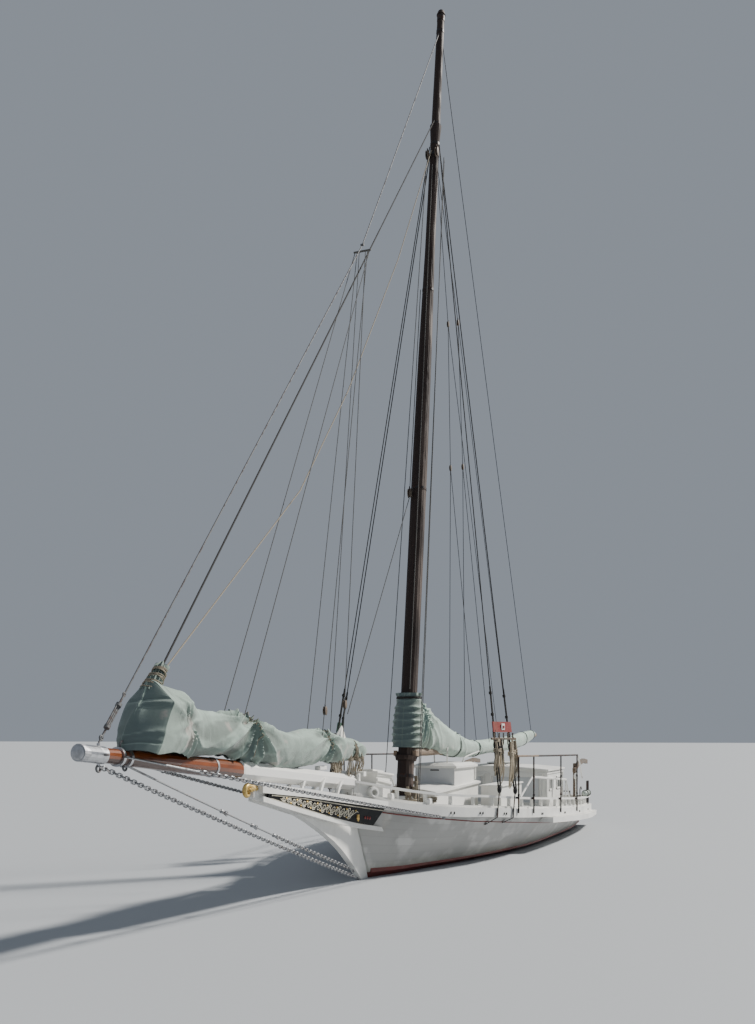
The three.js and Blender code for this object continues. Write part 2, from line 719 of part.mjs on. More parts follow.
function mastPoint(height, along = 0) {
  return mastFoot.clone().addScaledVector(mastLine, (height - MAST_FOOT[2]) / mastLine.z + along);
}

// A ring about a line through a point, square to the line
function ringAbout(point, line, radius, sides) {
  const across = new THREE.Vector3(0, 1, 0);
  const ahead = across.clone().cross(line).normalize();
  return Array.from({ length: sides }, (unused, index) => {
    const angle = (index * 2 * Math.PI) / sides;
    return point.clone()
      .addScaledVector(across, radius * Math.sin(angle))
      .addScaledVector(ahead, radius * Math.cos(angle));
  });
}

function pole(margin, sides = 16) {
  return loft(MAST_SIZES.map(([height, radius]) => ringAbout(mastPoint(height), mastLine, radius + margin,
    sides)));
}

function houndsShape(margin) {
  return rod(mastPoint(HOUNDS_HEIGHT, -420), mastPoint(HOUNDS_HEIGHT), 98 + margin, 128 + margin, 16);
}

function mast() {
  const saddle = rod(mastPoint(JAWS_HEIGHT, -90), mastPoint(JAWS_HEIGHT), 210, 235, 16);
  const truck = rod(mastPoint(MAST_TOP[2], -30), mastPoint(MAST_TOP[2], 60), 100, 70, 16);
  return onDeck(join(pole(0), saddle, houndsShape(0), truck));
}

// Shrouds of one side: name, station of the deadeye, its height, and the station and height of the
// upper end from the mast's line below the hounds
const SHROUDS = [['forward', 2910, 1500, -28, -60], ['after', 3500, 1450, 28, -160]];
const DEADEYE = { radius: 75, half: 38, spread: 900 };
const CHAINPLATE = { width: 60, thickness: 14, foot: 790 };

function shroudEnds([, station, height, aft, drop]) {
  const lower = at(station, sheerAt(station).half + 100, height);
  const upper = mastPoint(HOUNDS_HEIGHT + drop - 420).add(new THREE.Vector3(-aft, 110, 0));
  return [lower, upper];
}

// A flat strap along a line of points that lie one above another
function strap(points, width, thickness) {
  const corners = [[-1, -1], [1, -1], [1, 1], [-1, 1]];
  return loft(points.map((point) => corners.map(([along, across]) => {
    return point.clone().add(new THREE.Vector3((along * width) / 2, (across * thickness) / 2, 0));
  })));
}

// A wire with its two deadeyes and the chainplate
function shroud(row, side) {
  const [lower, upper] = shroudEnds(row);
  const eye = lower.clone().addScaledVector(upper.clone().sub(lower).normalize(), DEADEYE.spread);
  const aside = new THREE.Vector3(0, DEADEYE.half, 0);
  const disc = (middle) => rod(middle.clone().sub(aside), middle.clone().add(aside), DEADEYE.radius,
    DEADEYE.radius,
    12);
  const [, station] = row;
  const { half, height } = sheerAt(station);
  const outside = CHAINPLATE.thickness / 2 + 3;
  const plates = strap([
    lower,
    at(station, half + WALE.outward + outside, height + WALE.high),
    at(station - 40, half + WALE.outward + outside, height + WALE.low),
    at(station - 90, topsideAt(station - 90, CHAINPLATE.foot), CHAINPLATE.foot),
  ], CHAINPLATE.width, CHAINPLATE.thickness);
  const whole = join(rod(lower, upper, 11, 11, 6), disc(lower), disc(eye), plates);
  return cut(onSide(whole, side), hullSkin, waleShape(side, GAP));
}

const ROPE_RADIUS = 9;

// Straight runs of rope or wire from each point to the next
function runs(points, radius) {
  return points.slice(1).map((point, index) => rod(points[index], point, radius, radius, 10));
}

function forestay(points, radius, ...fittings) {
  return cut(join(...runs(points, radius), ...fittings), pole(GAP), houndsShape(GAP), bowspritShape(GAP),
    ...capEyes(GAP));
}

// A rope from a point towards a foot, that ends where it would meet a solid
function seatedRope(from, foot, solid) {
  let [clear, met] = [0, 1];
  for (let halving = 0; halving < 16; halving += 1) {
    const part = (clear + met) / 2;
    const trial = solidOf(rod(from, from.clone().lerp(foot, part), ROPE_RADIUS, ROPE_RADIUS, 8));
    if (trial.intersect(solid).volume() > 0) {
      met = part;
    } else {
      clear = part;
    }
  }
  return rod(from, from.clone().lerp(foot, clear), ROPE_RADIUS, ROPE_RADIUS, 8);
}

// The outer stay is hauled aft at a knee, where the jib's lazy jacks hang
const STAY_KNEE = [190, 0, 11373];

function outerHeadstay() {
  const [station, side, height] = STAY_KNEE;
  const shackle = rod(at(station, side - 30, height), at(station, side + 30, height), 22, 22, 10);
  return forestay([at(...HEADSTAY_FOOT), at(...STAY_KNEE), mastPoint(18350)], 10, shackle);
}

const SIDELIGHT = { height: 2740, half: 105, past: 80, thickness: 22 };

// A board set against the outside of the two shrouds
function sidelightBoard(side) {
  const { height, half, past, thickness } = SIDELIGHT;
  const wireAt = (row, level) => {
    const [lower, upper] = shroudEnds(row);
    return lower.lerp(upper, (level - lower.z) / (upper.z - lower.z)).add(new THREE.Vector3(0, 11 + GAP, 0));
  };
  const edges = [height - half, height + half].map((level) => {
    const [ahead, behind] = SHROUDS.map((row) => wireAt(row, level));
    const run = behind.clone().sub(ahead).setZ(0).normalize();
    return [ahead.addScaledVector(run, -past), behind.addScaledVector(run, past)];
  });
  const out = new THREE.Vector3(0, thickness, 0);
  return onSide(loft([0, 1].map((end) => {
    const [low, high] = [edges[0][end], edges[1][end]];
    return [low, low.clone().add(out), high.clone().add(out), high];
  })), side);
}

add('mast', 'mast', mast());
add('jib_stay', 'galvanised', forestay([at(...JIB_STAY_FOOT), mastPoint(JIB_STAY_TOP)], 12));
add('outer_headstay', 'galvanised', outerHeadstay());
for (const [label, side] of SIDES) {
  for (const row of SHROUDS) {
    add(`shroud_${row[0]}_${label}`, 'iron', shroud(row, side));
  }
  add(`sidelight_board_${label}`, 'red', sidelightBoard(side));
}

// Boom, its cover and topping lift

function boomPoint(part) {
  const point = at(...BOOM_START).lerp(at(...BOOM_END), part);
  point.z -= BOOM_SAG * 4 * part * (1 - part);
  return point;
}

// Part of the boom's length and radius there
const BOOM_SIZES = [[0, 85], [0.08, 105], [0.3, 115], [0.6, 110], [0.85, 92], [1, 75]];

function boomShape(margin) {
  const rings = BOOM_SIZES.map(([part, radius]) => {
    const run = boomPoint(Math.max(part - 0.02, 0)).sub(boomPoint(Math.min(part + 0.02, 1))).normalize();
    const end = part === 0 ? margin : part === 1 ? -margin : 0;
    return ringAbout(boomPoint(part).addScaledVector(run, end), run, radius + margin, 12);
  });
  return loft(rings);
}

const JAWS = { inner: 192, outer: 262, thickness: 100 };

function jaws(margin) {
  const [seat, top] = [mastPoint(JAWS_HEIGHT, GAP - margin),
    mastPoint(JAWS_HEIGHT, JAWS.thickness + margin)];
  const ring = rod(seat, top, JAWS.outer + margin, JAWS.outer + margin, 20);
  const heart = mastPoint(JAWS_HEIGHT, JAWS.thickness / 2);
  const tongue = rod(heart.clone().add(new THREE.Vector3(-215, 0, 20)), boomPoint(0.05), 70 + margin,
    100 + margin, 12);
  return join(ring, tongue);
}

function boom() {
  const clear = rod(mastPoint(1900), mastPoint(2600), JAWS.inner, JAWS.inner, 20);
  const { x } = mastPoint(JAWS_HEIGHT);
  const front = block([ORIGIN_STATION - x - 400, ORIGIN_STATION - x - 90], [-400, 400], [1900, 2500]);
  const under = rod(mastPoint(1700), mastPoint(JAWS_HEIGHT, GAP), 420, 420, 20);
  return cut(join(boomShape(0), jaws(0)), clear, front, under);
}

// Main sail's cover: station, lowest, highest and half-width of each section
const MAIN_COVER = [
  [2700, 2380, 3330, 190], [3330, 2330, 3230, 240], [4000, 2250, 3050, 250], [4800, 2170, 2850, 250],
  [5700, 2105, 2665, 245], [6800, 2085, 2520, 240], [8200, 2100, 2500, 225], [9800, 2140, 2510, 205],
  [11600, 2180, 2580, 190], [13000, 2290, 2690, 160], [14300, 2460, 2740, 120], [14880, 2560, 2700, 85],
];
// Height and radius of the collar round the mast
const COLLAR = [[2330, 300], [2700, 300], [3150, 275], [3400, 245]];

// An oval section across the boat between two heights
function ovalSection(station, low, high, half, sides = 12) {
  return Array.from({ length: sides }, (unused, index) => {
    const angle = (index * 2 * Math.PI) / sides;
    return at(station, half * Math.sin(angle), (low + high) / 2 - ((high - low) / 2) * Math.cos(angle));
  });
}

function mainCover() {
  const bundle = loft(MAIN_COVER.map((row) => ovalSection(...row)));
  const collar = loft(COLLAR.map(([height, radius]) => ringAbout(mastPoint(height), mastLine, radius, 16)));
  const saddleWay = rod(mastPoint(1700), mastPoint(JAWS_HEIGHT, 6), 420, 420, 16);
  return cut(join(bundle, collar), pole(14), boomShape(GAP), jaws(GAP), saddleWay);
}

function toppingLift() {
  const top = mastPoint(18300).add(new THREE.Vector3(-92, 0, 0));
  return cut(rod(top, at(14370, 0, 2715), 8, 8, 6), mainCover().translate(0, 0, GAP), pole(2));
}

add('boom', 'bare', boom());
add('main_cover', 'canvas', mainCover());
add('topping_lift', 'black', toppingLift());

// Lazy jacks of the mainsail: a fall on each side, forked at its blocks, as [station, side, height]
const MAIN_JACKS = {
  top: 15350,
  block: [5860, 120, 12180],
  fork: [6150, 150, 8900],
  feet: [[6200, 190, 2450], [8550, 170, 2380]],
  last: [10800, 150, 2420],
};

// A rope's block, hung on end about a point
function ropeBlock(point) {
  const half = new THREE.Vector3(0, 0, 75);
  return rod(point.clone().sub(half), point.clone().add(half), 34, 34, 10);
}

function mainLazyJacks() {
  const { top, block: upperBlock, fork: lowerBlock, feet, last } = MAIN_JACKS;
  const start = mastPoint(top).add(new THREE.Vector3(-120, 0, 0));
  const cover = solidOf(mainCover().translate(0, 0, GAP));
  const falls = [PORT, STARBOARD].map((side) => {
    const place = ([station, aside, height]) => at(station, aside * side, height);
    const [upper, lower] = [place(upperBlock), place(lowerBlock)];
    const lines = [
      ...runs([start, upper, lower], ROPE_RADIUS), seatedRope(upper, place(last), cover),
      ...feet.map((foot) => seatedRope(lower, place(foot), cover)),
    ];
    return join(...lines, ropeBlock(upper), ropeBlock(lower));
  });
  return join(...falls, rod(start.clone().setY(-20), start.clone().setY(20), 16, 16, 8));
}

add('main_lazy_jacks', 'rope', mainLazyJacks());

// Jib club with its ring round the stay, and the jib's cover

const jibFoot = at(...JIB_STAY_FOOT);
const jibStayLine = mastPoint(JIB_STAY_TOP).sub(jibFoot).normalize();
const JIB_RING = { along: 300, half: 35, radius: 42, bore: 12.8 };
const CLUB = { start: -6420, startHeight: 2560, end: 60, endHeight: 2290, radius: 48 };

// Jib cover: station, lowest, highest and half-width of each section
const JIB_COVER = [
  [-7010, 2440, 2640, 150], [-6900, 2430, 2960, 240], [-6550, 2410, 3130, 290], [-6200, 2390, 3140, 300],
  [-5950, 2370, 3030, 290], [-5650, 2350, 2840, 270], [-5100, 2310, 2820, 250], [-4250, 2245, 2810, 235],
  [-3450, 2175, 2655, 215], [-2900, 2130, 2610, 210], [-2300, 2090, 2640, 205], [-1250, 2110, 2610, 190],
  [-350, 2140, 2490, 160], [120, 2170, 2390, 110], [210, 2230, 2310, 50],
];

function jibStayPoint(along) {
  return jibFoot.clone().addScaledVector(jibStayLine, along);
}

function jibTube(start, end, radius, endRadius = radius, sides = 12) {
  return rod(jibStayPoint(start), jibStayPoint(end), radius, endRadius, sides);
}

function clubPoint(station) {
  const { start, startHeight, end, endHeight } = CLUB;
  return at(station, 0, startHeight + ((endHeight - startHeight) * (station - start)) / (end - start));
}

function jibClub(margin) {
  const { start, end, radius } = CLUB;
  const { along, half } = JIB_RING;
  const spar = rod(clubPoint(start - margin), clubPoint(end + margin), radius + margin, radius + margin, 12);
  const ring = jibTube(along - half - margin, along + half + margin, JIB_RING.radius + margin);
  const arm = rod(jibStayPoint(along), clubPoint(start + 60), 22 + margin, 30 + margin, 8);
  return join(spar, ring, arm);
}

function jibCover() {
  const bundle = loft(JIB_COVER.map((row) => ovalSection(...row)));
  const neck = jibTube(700, 1290, 130, 70);
  return cut(join(bundle, neck), jibTube(-200, 3000, 19), jibClub(GAP));
}

add('jib_club', 'bare', cut(jibClub(0), jibTube(-200, 3000, JIB_RING.bore)));
add('jib_cover', 'canvas', jibCover());

// Lazy jacks of the jib: a bar below the outer stay's knee, and the feet of three legs from each of its ends
const JIB_JACKS = {
  station: 190,
  height: 11260,
  half: 140,
  apart: 40,
  feet: [[-4600, 165, 2620], [-1900, 137, 2430], [-1000, 122, 2380]],
};
// The jib's halyard, slack from the hounds to the neck of the cover
const JIB_HALYARD = [
  [4217, 0, 15300], [2078, 0, 11960], [-480, 0, 8530], [-2400, 0, 6360], [-6180, 0, 3330],
];

function jibLazyJacks() {
  const { station, height, half, apart, feet } = JIB_JACKS;
  const cover = solidOf(jibCover().translate(0, 0, GAP));
  const legs = [PORT, STARBOARD].flatMap((side) => feet.map(([foot, aside, low], index) => {
    const top = at(station, (half - apart * index) * side, height);
    return seatedRope(top, at(foot, aside * side, low), cover);
  }));
  return join(...legs, rod(at(station, -half - 25, height), at(station, half + 25, height), 20, 20, 10));
}

function jibHalyard() {
  const points = JIB_HALYARD.map((point) => at(...point));
  const [beforeNeck, neck] = points.slice(-2);
  const cover = solidOf(jibCover().translate(-GAP, 0, GAP));
  return join(...runs(points.slice(0, -1), ROPE_RADIUS), seatedRope(beforeNeck, neck, cover));
}

add('jib_lazy_jacks', 'rope', jibLazyJacks());
add('jib_halyard', 'rope', jibHalyard());

// Deck houses

// A roof that curves across the boat between two stations, with its eaves' heights
function crowned(start, end, half, eaveStart, eaveEnd, crown, thickness) {
  const parts = [-1, -0.5, 0, 0.5, 1];
  return loft([[start, eaveStart], [end, eaveEnd]].map(([station, eave]) => {
    const row = (rise) => parts.map((part) => at(station, half * part,
      eave + crown * (1 - part * part) + rise));
    return [...row(-thickness), ...row(0).reverse()];
  }));
}

function trunkRoof(margin, thickness) {
  const { start, end, half, eaveStart, eaveEnd, crown } = TRUNK;
  return crowned(start - 50, end + 50, half + 50, eaveStart + margin, eaveEnd + margin, crown, thickness);
}

function trunk() {
  const { start, end, half, eaveStart, eaveEnd, crown } = TRUNK;
  const walls = crowned(start, end, half, eaveStart - 20, eaveEnd - 20, crown, 1000);
  return onDeck(join(walls, trunkRoof(0, 45)));
}

function winderHouse() {
  const { start, end, half, top } = WINDER_HOUSE;
  const walls = block([start, end], [-half, half], [1400, top]);
  // Station, half-width and height of the lid's edge, all round its bevel
  const lid = loft([[-45, 60, 60], [0, 60, 60], [60, -60, -60]].map(([rise, over]) => [
    at(start - over, -half - over, top + rise), at(start - over, half + over, top + rise),
    at(end + over, half + over, top + rise), at(end + over, -half - over, top + rise),
  ]));
  return cut(join(walls, lid), trunkRoof(GAP, 900));
}

function bench(side) {
  const { start, end, inner, outer, top } = BENCH;
  const box = block([start + 20, end - 20], [inner + 15, outer - 20], [600, top - 20]);
  const seat = block([start, end], [inner, outer], [top - 30, top]);
  return onDeck(onSide(join(box, seat), side));
}

const DOORWAY = { half: 330 };
const WINDOWS = [9350, 10350];
const WINDOW = { length: 480, low: 1180, high: 1440 };
const ROOF_THICKNESS = 42;

function cabinHouse() {
  const { start, end, half, eave, crown, wall } = CABIN;
  const shell = crowned(start, end, half, eave, eave, crown, 1100);
  const room = crowned(start + wall, end - wall, half - wall, eave + 200, eave + 200, crown, 1500);
  const doorway = block([end - 200, end + 200], [-DOORWAY.half, DOORWAY.half], [300, eave + 300]);
  const windows = WINDOWS.map((station) => block([station, station + WINDOW.length],
    [-half - 100, half + 100],
    [WINDOW.low, WINDOW.high]));
  return cut(onDeck(shell), room, doorway, ...windows);
}

const HATCH = { half: 370, start: 10380, end: 11130, thickness: 34 };
const RUNNER_TOP = CABIN.eave + CABIN.crown + ROOF_THICKNESS + 20;

function cabinRoof() {
  const { start, end, half, eave, crown } = CABIN;
  const high = eave + ROOF_THICKNESS;
  const roof = crowned(start - 60, end + 60, half + 60, high, high, crown, ROOF_THICKNESS - GAP);
  const opening = block([HATCH.start + 60, end + 200], [-DOORWAY.half, DOORWAY.half], [1500, 2000]);
  const runners = [PORT, STARBOARD].map((side) => {
    return onSide(block([HATCH.start - 800, end], [DOORWAY.half + 5, DOORWAY.half + 35],
      [1765, RUNNER_TOP]), side);
  });
  return cut(join(roof, ...runners), opening);
}

function cabinHatch() {
  const { start, end, half, thickness } = HATCH;
  const lid = block([start, end + 60], [-half, half], [RUNNER_TOP + GAP, RUNNER_TOP + thickness]);
  const lip = block([end + 20, end + 60], [-DOORWAY.half + 15, DOORWAY.half - 15],
    [RUNNER_TOP - 60, RUNNER_TOP + 10]);
  return join(lid, lip);
}

const DOOR_PIN = { station: CABIN.end + 13 + GAP, side: DOORWAY.half + 30, radius: 13 };

// One leaf of the cabin's doors, hung outside the doorway on its side
function cabinDoor(side) {
  const { end, eave } = CABIN;
  const low = deckHeight(end, 0) + 20;
  const leaf = block([end + 4, end + 28], [4, DOORWAY.half + 25], [low, eave + 60]);
  const hinges = [low + 150, eave - 200].map((height) => {
    return rod(at(DOOR_PIN.station, DOOR_PIN.side, height), at(DOOR_PIN.station, DOOR_PIN.side, height + 90),
      DOOR_PIN.radius, DOOR_PIN.radius, 16);
  });
  return onSide(join(leaf, ...hinges), side);
}

function heelBox() {
  const { start, end, half, top } = HEEL_BOX;
  const side = [[start, 1000], [end, 1000], [end, top - 90], [start, top - 30]];
  const lid = [[start - 25, top - 45], [end + 25, top - 100], [end + 25, top - 60], [start - 25, top - 5]];
  return onDeck(join(plate(side, half * 2), plate(lid, half * 2 + 50)));
}

add('trunk', 'white', trunk());
add('winder_house', 'white', winderHouse());
add('bench_port', 'white', bench(PORT));
add('bench_starboard', 'white', bench(STARBOARD));
add('cabin_house', 'white', cabinHouse());
add('cabin_roof', 'white', cabinRoof());
add('cabin_hatch', 'white', cabinHatch());
add('cabin_door_port', 'white', cabinDoor(PORT));
add('cabin_door_starboard', 'white', cabinDoor(STARBOARD));
add('heel_box', 'white', heelBox());

// Steering gear

const STEERING_BOX = { start: 12000, end: 12440, half: 330, top: 1400 };
const WHEEL = { station: 11900, height: 1240, radius: 330, rim: 22, handle: 110, spokes: 8 };

function steeringBox() {
  const { start, end, half, top } = STEERING_BOX;
  const shaft = rod(at(start + 20, 0, WHEEL.height), at(WHEEL.station + 40 + GAP, 0, WHEEL.height), 26, 26,
    12);
  return onDeck(join(block([start, end], [-half, half], [400, top]), shaft));
}

function steeringWheel() {
  const { station, height, radius, rim, handle, spokes } = WHEEL;
  const section = Array.from({ length: 7 }, (unused, index) => {
    const angle = (index * Math.PI) / 3;
    return new THREE.Vector2(radius + rim * Math.cos(angle), rim * Math.sin(angle));
  });
  const bars = Array.from({ length: spokes }, (unused, index) => {
    const run = new THREE.Vector3(1, 0, 0).applyAxisAngle(new THREE.Vector3(0, 1, 0),
      (index * 2 * Math.PI) / spokes);
    return rod(run.clone().multiplyScalar(20), run.clone().multiplyScalar(radius + handle), 14, 18, 6);
  });
  const hub = rod(new THREE.Vector3(0, -40, 0), new THREE.Vector3(0, 40, 0), 70, 70, 12);
  const { x, z } = at(station, 0, height);
  return join(new THREE.LatheGeometry(section, 24), hub, ...bars).rotateZ(Math.PI / 2).translate(x, 0, z);
}

add('steering_box', 'white', steeringBox());
add('steering_wheel', 'bare', steeringWheel());

// Davits at the quarters and the horse for the main sheet

function davit(side) {
  const { station, across, top, reach, width } = DAVIT;
  const post = block([station - width / 2, station + width / 2], [across - width / 2, across + width / 2],
    [300, top]);
  const arm = [[station - 200, top - 260], [station + 500, top - 80], [reach - 600, top - 10],
    [reach, top - 60]];
  const outline = [...arm, ...arm.map(([place, rise]) => [place, rise + 120]).reverse()];
  return onDeck(onSide(join(post, plate(outline, width - 20, across)), side));
}

function sheetHorse() {
  const { station, height, radius, inset } = HORSE;
  const reach = sheerAt(station).half - inset;
  const legs = [-1, 1].map((way) => rod(at(station, way * reach, 500), at(station, way * reach, height),
    radius,
    radius, 8));
  return onDeck(join(rod(at(station, -reach - radius, height), at(station, reach + radius, height), radius,
    radius, 8),
    ...legs));
}

add('davit_port', 'bare', davit(PORT));
add('davit_starboard', 'bare', davit(STARBOARD));
add('sheet_horse', 'iron', sheetHorse());

export default skipjack;
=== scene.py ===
# Dresses a skipjack, a V-bottomed sailing work boat that lies afloat with covered sails.
# Metres, +X forward, +Y to port, +Z up, waterline at zero. Stations run aft from the stem at the waterline.

import math

import bmesh
import bpy
import numpy as np
from bpy.props import FloatProperty, FloatVectorProperty, IntProperty, PointerProperty
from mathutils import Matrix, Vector


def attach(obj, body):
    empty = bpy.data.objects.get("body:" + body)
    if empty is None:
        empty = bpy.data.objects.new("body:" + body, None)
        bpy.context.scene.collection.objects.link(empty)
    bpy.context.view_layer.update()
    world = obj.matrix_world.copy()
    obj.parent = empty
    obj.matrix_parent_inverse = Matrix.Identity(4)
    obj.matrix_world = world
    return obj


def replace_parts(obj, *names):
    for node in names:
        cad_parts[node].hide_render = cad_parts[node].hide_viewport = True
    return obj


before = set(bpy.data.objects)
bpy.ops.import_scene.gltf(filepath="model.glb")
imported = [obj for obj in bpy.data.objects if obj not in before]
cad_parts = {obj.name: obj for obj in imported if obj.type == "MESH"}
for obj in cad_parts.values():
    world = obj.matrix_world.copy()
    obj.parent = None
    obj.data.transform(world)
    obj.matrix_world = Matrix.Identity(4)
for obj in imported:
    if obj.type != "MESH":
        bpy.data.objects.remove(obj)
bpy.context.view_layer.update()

bl_info = {
    "name": "Skipjack Outfitter",
    "version": (1, 0, 0),
    "blender": (4, 5, 0),
    "location": "3D View > Sidebar > Skipjack",
    "description": "Planks, paints, rigs and covers a skipjack round its frame",
    "category": "Object",
}

# Driving dimensions

ORIGIN_STATION = 6.2
UP = np.array([0.0, 0.0, 1.0])
AHEAD = np.array([1.0, 0.0, 0.0])
ACROSS = np.array([0.0, 1.0, 0.0])
SIDES = (("port", 1.0), ("starboard", -1.0))

# Lines of the hull: station, half-breadth, height
SHEER_LINE = np.array([
    [-0.5, 0.08, 1.48], [0.5, 0.66, 1.29], [1.5, 1.17, 1.15], [2.7, 1.67, 1.07], [4.0, 2.03, 0.97],
    [6.0, 2.25, 0.85], [8.5, 2.3, 0.71], [10.8, 2.23, 0.6], [12.75, 2.06, 0.54],
])
CHINE_LINE = np.array([
    [0.28, 0.09, 0.12], [0.95, 0.35, 0.1], [1.8, 0.65, 0.1], [2.9, 1.02, 0.1], [4.1, 1.35, 0.1],
    [6.0, 1.72, 0.1], [8.5, 1.86, 0.1], [10.7, 1.89, 0.1], [12.45, 1.8, 0.12],
])
KEEL_LINE = np.array([
    [0.36, 0.06, -0.1], [0.8, 0.06, -0.38], [1.6, 0.06, -0.56], [2.8, 0.06, -0.67], [4.1, 0.06, -0.7],
    [6.0, 0.06, -0.7], [8.5, 0.06, -0.58], [10.6, 0.06, -0.34], [12.38, 0.06, -0.08],
])
LAST_ROW = len(SHEER_LINE) - 1
TOPSIDE_BULGE = 0.06
# Rise of the deck's middle over its edge, and of the deck's face over the hull
CROWN = 0.06
DECK_TOP = 0.0403
RAIL_HEIGHT = 0.28
SLOT = {"start": 4.15, "end": 8.15, "high": 0.4, "half": 0.042}

# Spars: points as station, side and height
BOWSPRIT_TIP = -7.78
BOWSPRIT_SLOPE = -0.085
BOWSPRIT_TIP_HEIGHT = 2.37
OCTAGON_START = -4.37
MAST_FOOT = np.array([2.36, 0.0, 0.7])
MAST_TOP = np.array([4.921, 0.0, 18.74])
# Heights above the waterline and radii of the mast
MAST_SIZES = np.array([
    [0.7, 0.172], [3.0, 0.166], [8.2, 0.16], [10.6, 0.142], [13.1, 0.107], [16.0, 0.096], [18.74, 0.078],
])
JIB_STAY_FOOT = np.array([-7.02, 0.0, 2.415])
JIB_STAY_TOP = 16.24
HEADSTAY_FOOT = np.array([-7.44, 0.0, 2.462])
# Station and height at which the outer stay passes the bar of the jib's lazy jacks
STAY_KNEE_STATION = 0.19
STAY_KNEE_HEIGHT = 11.373
# Places on the bowsprit: station of its shrouds; station, distance to port and rise of the bobstays' eyes
SHROUD_STATION = -7.1
LOWER_BOBSTAY_EYE = (HEADSTAY_FOOT[0], 0.0, -0.12)
UPPER_BOBSTAY_EYE = (-6.96, 0.0, -0.08)


# Settings that a user would change

def colour(name, description, default):
    return FloatVectorProperty(
        name=name, description=description, default=default, subtype="COLOR", size=3, min=0.0, max=1.0,
    )


def length(name, description, default):
    return FloatProperty(name=name, description=description, default=default, min=0.0, unit="LENGTH")


class SkipjackPaint(bpy.types.PropertyGroup):
    """Colours of the boat's paints, woods, metals and cloth."""

    white: colour("White paint", "Topsides, rails and houses", (0.8, 0.795, 0.76))
    cream: colour("Cream paint", "Rails of the head", (0.79, 0.74, 0.6))
    bottom: colour("Bottom paint", "Copper red paint below the chine", (0.12, 0.022, 0.018))
    stripe: colour("Stripe", "Line along the topsides and the chine logs", (0.2, 0.035, 0.028))
    deck: colour("Deck paint", "Pale grey of the planked deck", (0.6, 0.6, 0.57))
    # Grey of the panels that stand for painted shade on the white fronts of the houses
    shade: colour("Panel grey", "Grey panels of the houses", (0.56, 0.58, 0.6))
    varnish: colour("Varnish", "Outer part of the bowsprit", (0.14, 0.034, 0.006))
    mast: colour("Mast", "Dark oiled mast", (0.024, 0.015, 0.013))
    bare: colour("Bare wood", "Weathered boom, davits and blocks", (0.21, 0.15, 0.105))
    black: colour("Black paint", "Trailboards and ironwork", (0.012, 0.013, 0.015))
    rust: colour("Rust", "Rust on iron", (0.14, 0.045, 0.018))
    zinc: colour("Zinc", "Galvanised wire and chain", (0.36, 0.37, 0.38))
    silver: colour("Silver metal", "Cap of the bowsprit", (0.55, 0.56, 0.58))
    gold: colour("Gilding", "Carved head and scrolls", (0.7, 0.49, 0.16))
    red: colour("Port red", "Board of the port sidelight", (0.24, 0.026, 0.022))
    green: colour("Starboard green", "Board of the starboard sidelight", (0.012, 0.06, 0.03))
    canvas: colour("Canvas", "Faded green of the sail covers", (0.215, 0.28, 0.24))
    rope: colour("Rope", "Weathered rope", (0.42, 0.36, 0.27))
    tarred: colour("Tarred rope", "Served wire and tarred lanyards", (0.03, 0.027, 0.024))


class SkipjackRig(bpy.types.PropertyGroup):
    """Sizes of chain, rope, blocks and deadeyes."""

    chain_pitch: length("Chain pitch", "Length of a link inside", 0.072)
    chain_wire: length("Chain wire", "Radius of a link's wire", 0.0085)
    wire_radius: length("Wire radius", "Radius of a shroud", 0.011)
    rope_radius: length("Rope radius", "Radius of a halyard", 0.009)
    deadeye_radius: length("Deadeye radius", "Radius of a deadeye", 0.075)
    block_length: length("Block length", "Length of a halyard's block", 0.2)


class SkipjackHull(bpy.types.PropertyGroup):
    """Planking of the hull and the deck."""

    strakes: IntProperty(name="Strakes", description="Planks between sheer and chine", default=8, min=1)
    seam: length("Seam", "Width of a seam between two planks", 0.006)
    deck_plank: length("Deck plank", "Width of a deck plank", 0.085)
    stripe_height: length("Stripe height", "Height of the red line along the topsides", 0.022)


class SkipjackStage(bpy.types.PropertyGroup):
    """Floor, light and camera."""

    floor_size: length("Floor size", "Side of the floor", 900.0)
    sun: FloatProperty(name="Key light", description="Strength of the key light", default=6.4, min=0.0)
    sky: FloatProperty(name="Fill light", description="Strength of the light all round", default=0.36, min=0.0)
    camera_height: length("Camera height", "Height of the camera over the waterline", 2.53)
    lens: FloatProperty(name="Lens", description="Focal length", default=34.8, min=1.0, unit="CAMERA")


# Surfaces

class Shape:
    """Points with four-cornered and three-cornered faces, and a pattern coordinate for each point."""

    def __init__(self, points, quads=(), tris=(), uv=None):
        self.points = np.asarray(points, float).reshape(-1, 3)
        self.quads = np.asarray(quads, int).reshape(-1, 4)
        self.tris = np.asarray(tris, int).reshape(-1, 3)
        self.uv = np.zeros((len(self.points), 2)) if uv is None else np.asarray(uv, float).reshape(-1, 2)

    def turned(self, matrix, offset=(0.0, 0.0, 0.0)):
        """The shape after a 3 by 3 matrix and an offset; a matrix that mirrors turns the faces round."""
        quads, tris = self.quads, self.tris
        if np.linalg.det(matrix) < 0:
            quads, tris = quads[:, ::-1], tris[:, ::-1]
        return Shape(self.points @ np.asarray(matrix, float).T + np.asarray(offset, float), quads, tris, self.uv)

    def mirrored(self):
        """The shape on the other side of the boat: its distances to port change sign."""
        return self.turned(np.diag([1.0, -1.0, 1.0]))


def joined(shapes):
    """One shape of many, with the faces' numbers shifted past the points before them."""
    starts = np.cumsum([0] + [len(shape.points) for shape in shapes[:-1]])
    return Shape(
        np.concatenate([shape.points for shape in shapes]),
        *(np.concatenate([getattr(shape, kind) + start for shape, start in zip(shapes, starts)])
          for kind in ("quads", "tris")),
        np.concatenate([shape.uv for shape in shapes]),
    )


def both_sides(shape):
    """The shape and its mirror image, as one."""
    return joined([shape, shape.mirrored()])


def on_side(shape, side):
    """The shape itself to port, and its mirror image to starboard."""
    return shape if side > 0 else shape.mirrored()


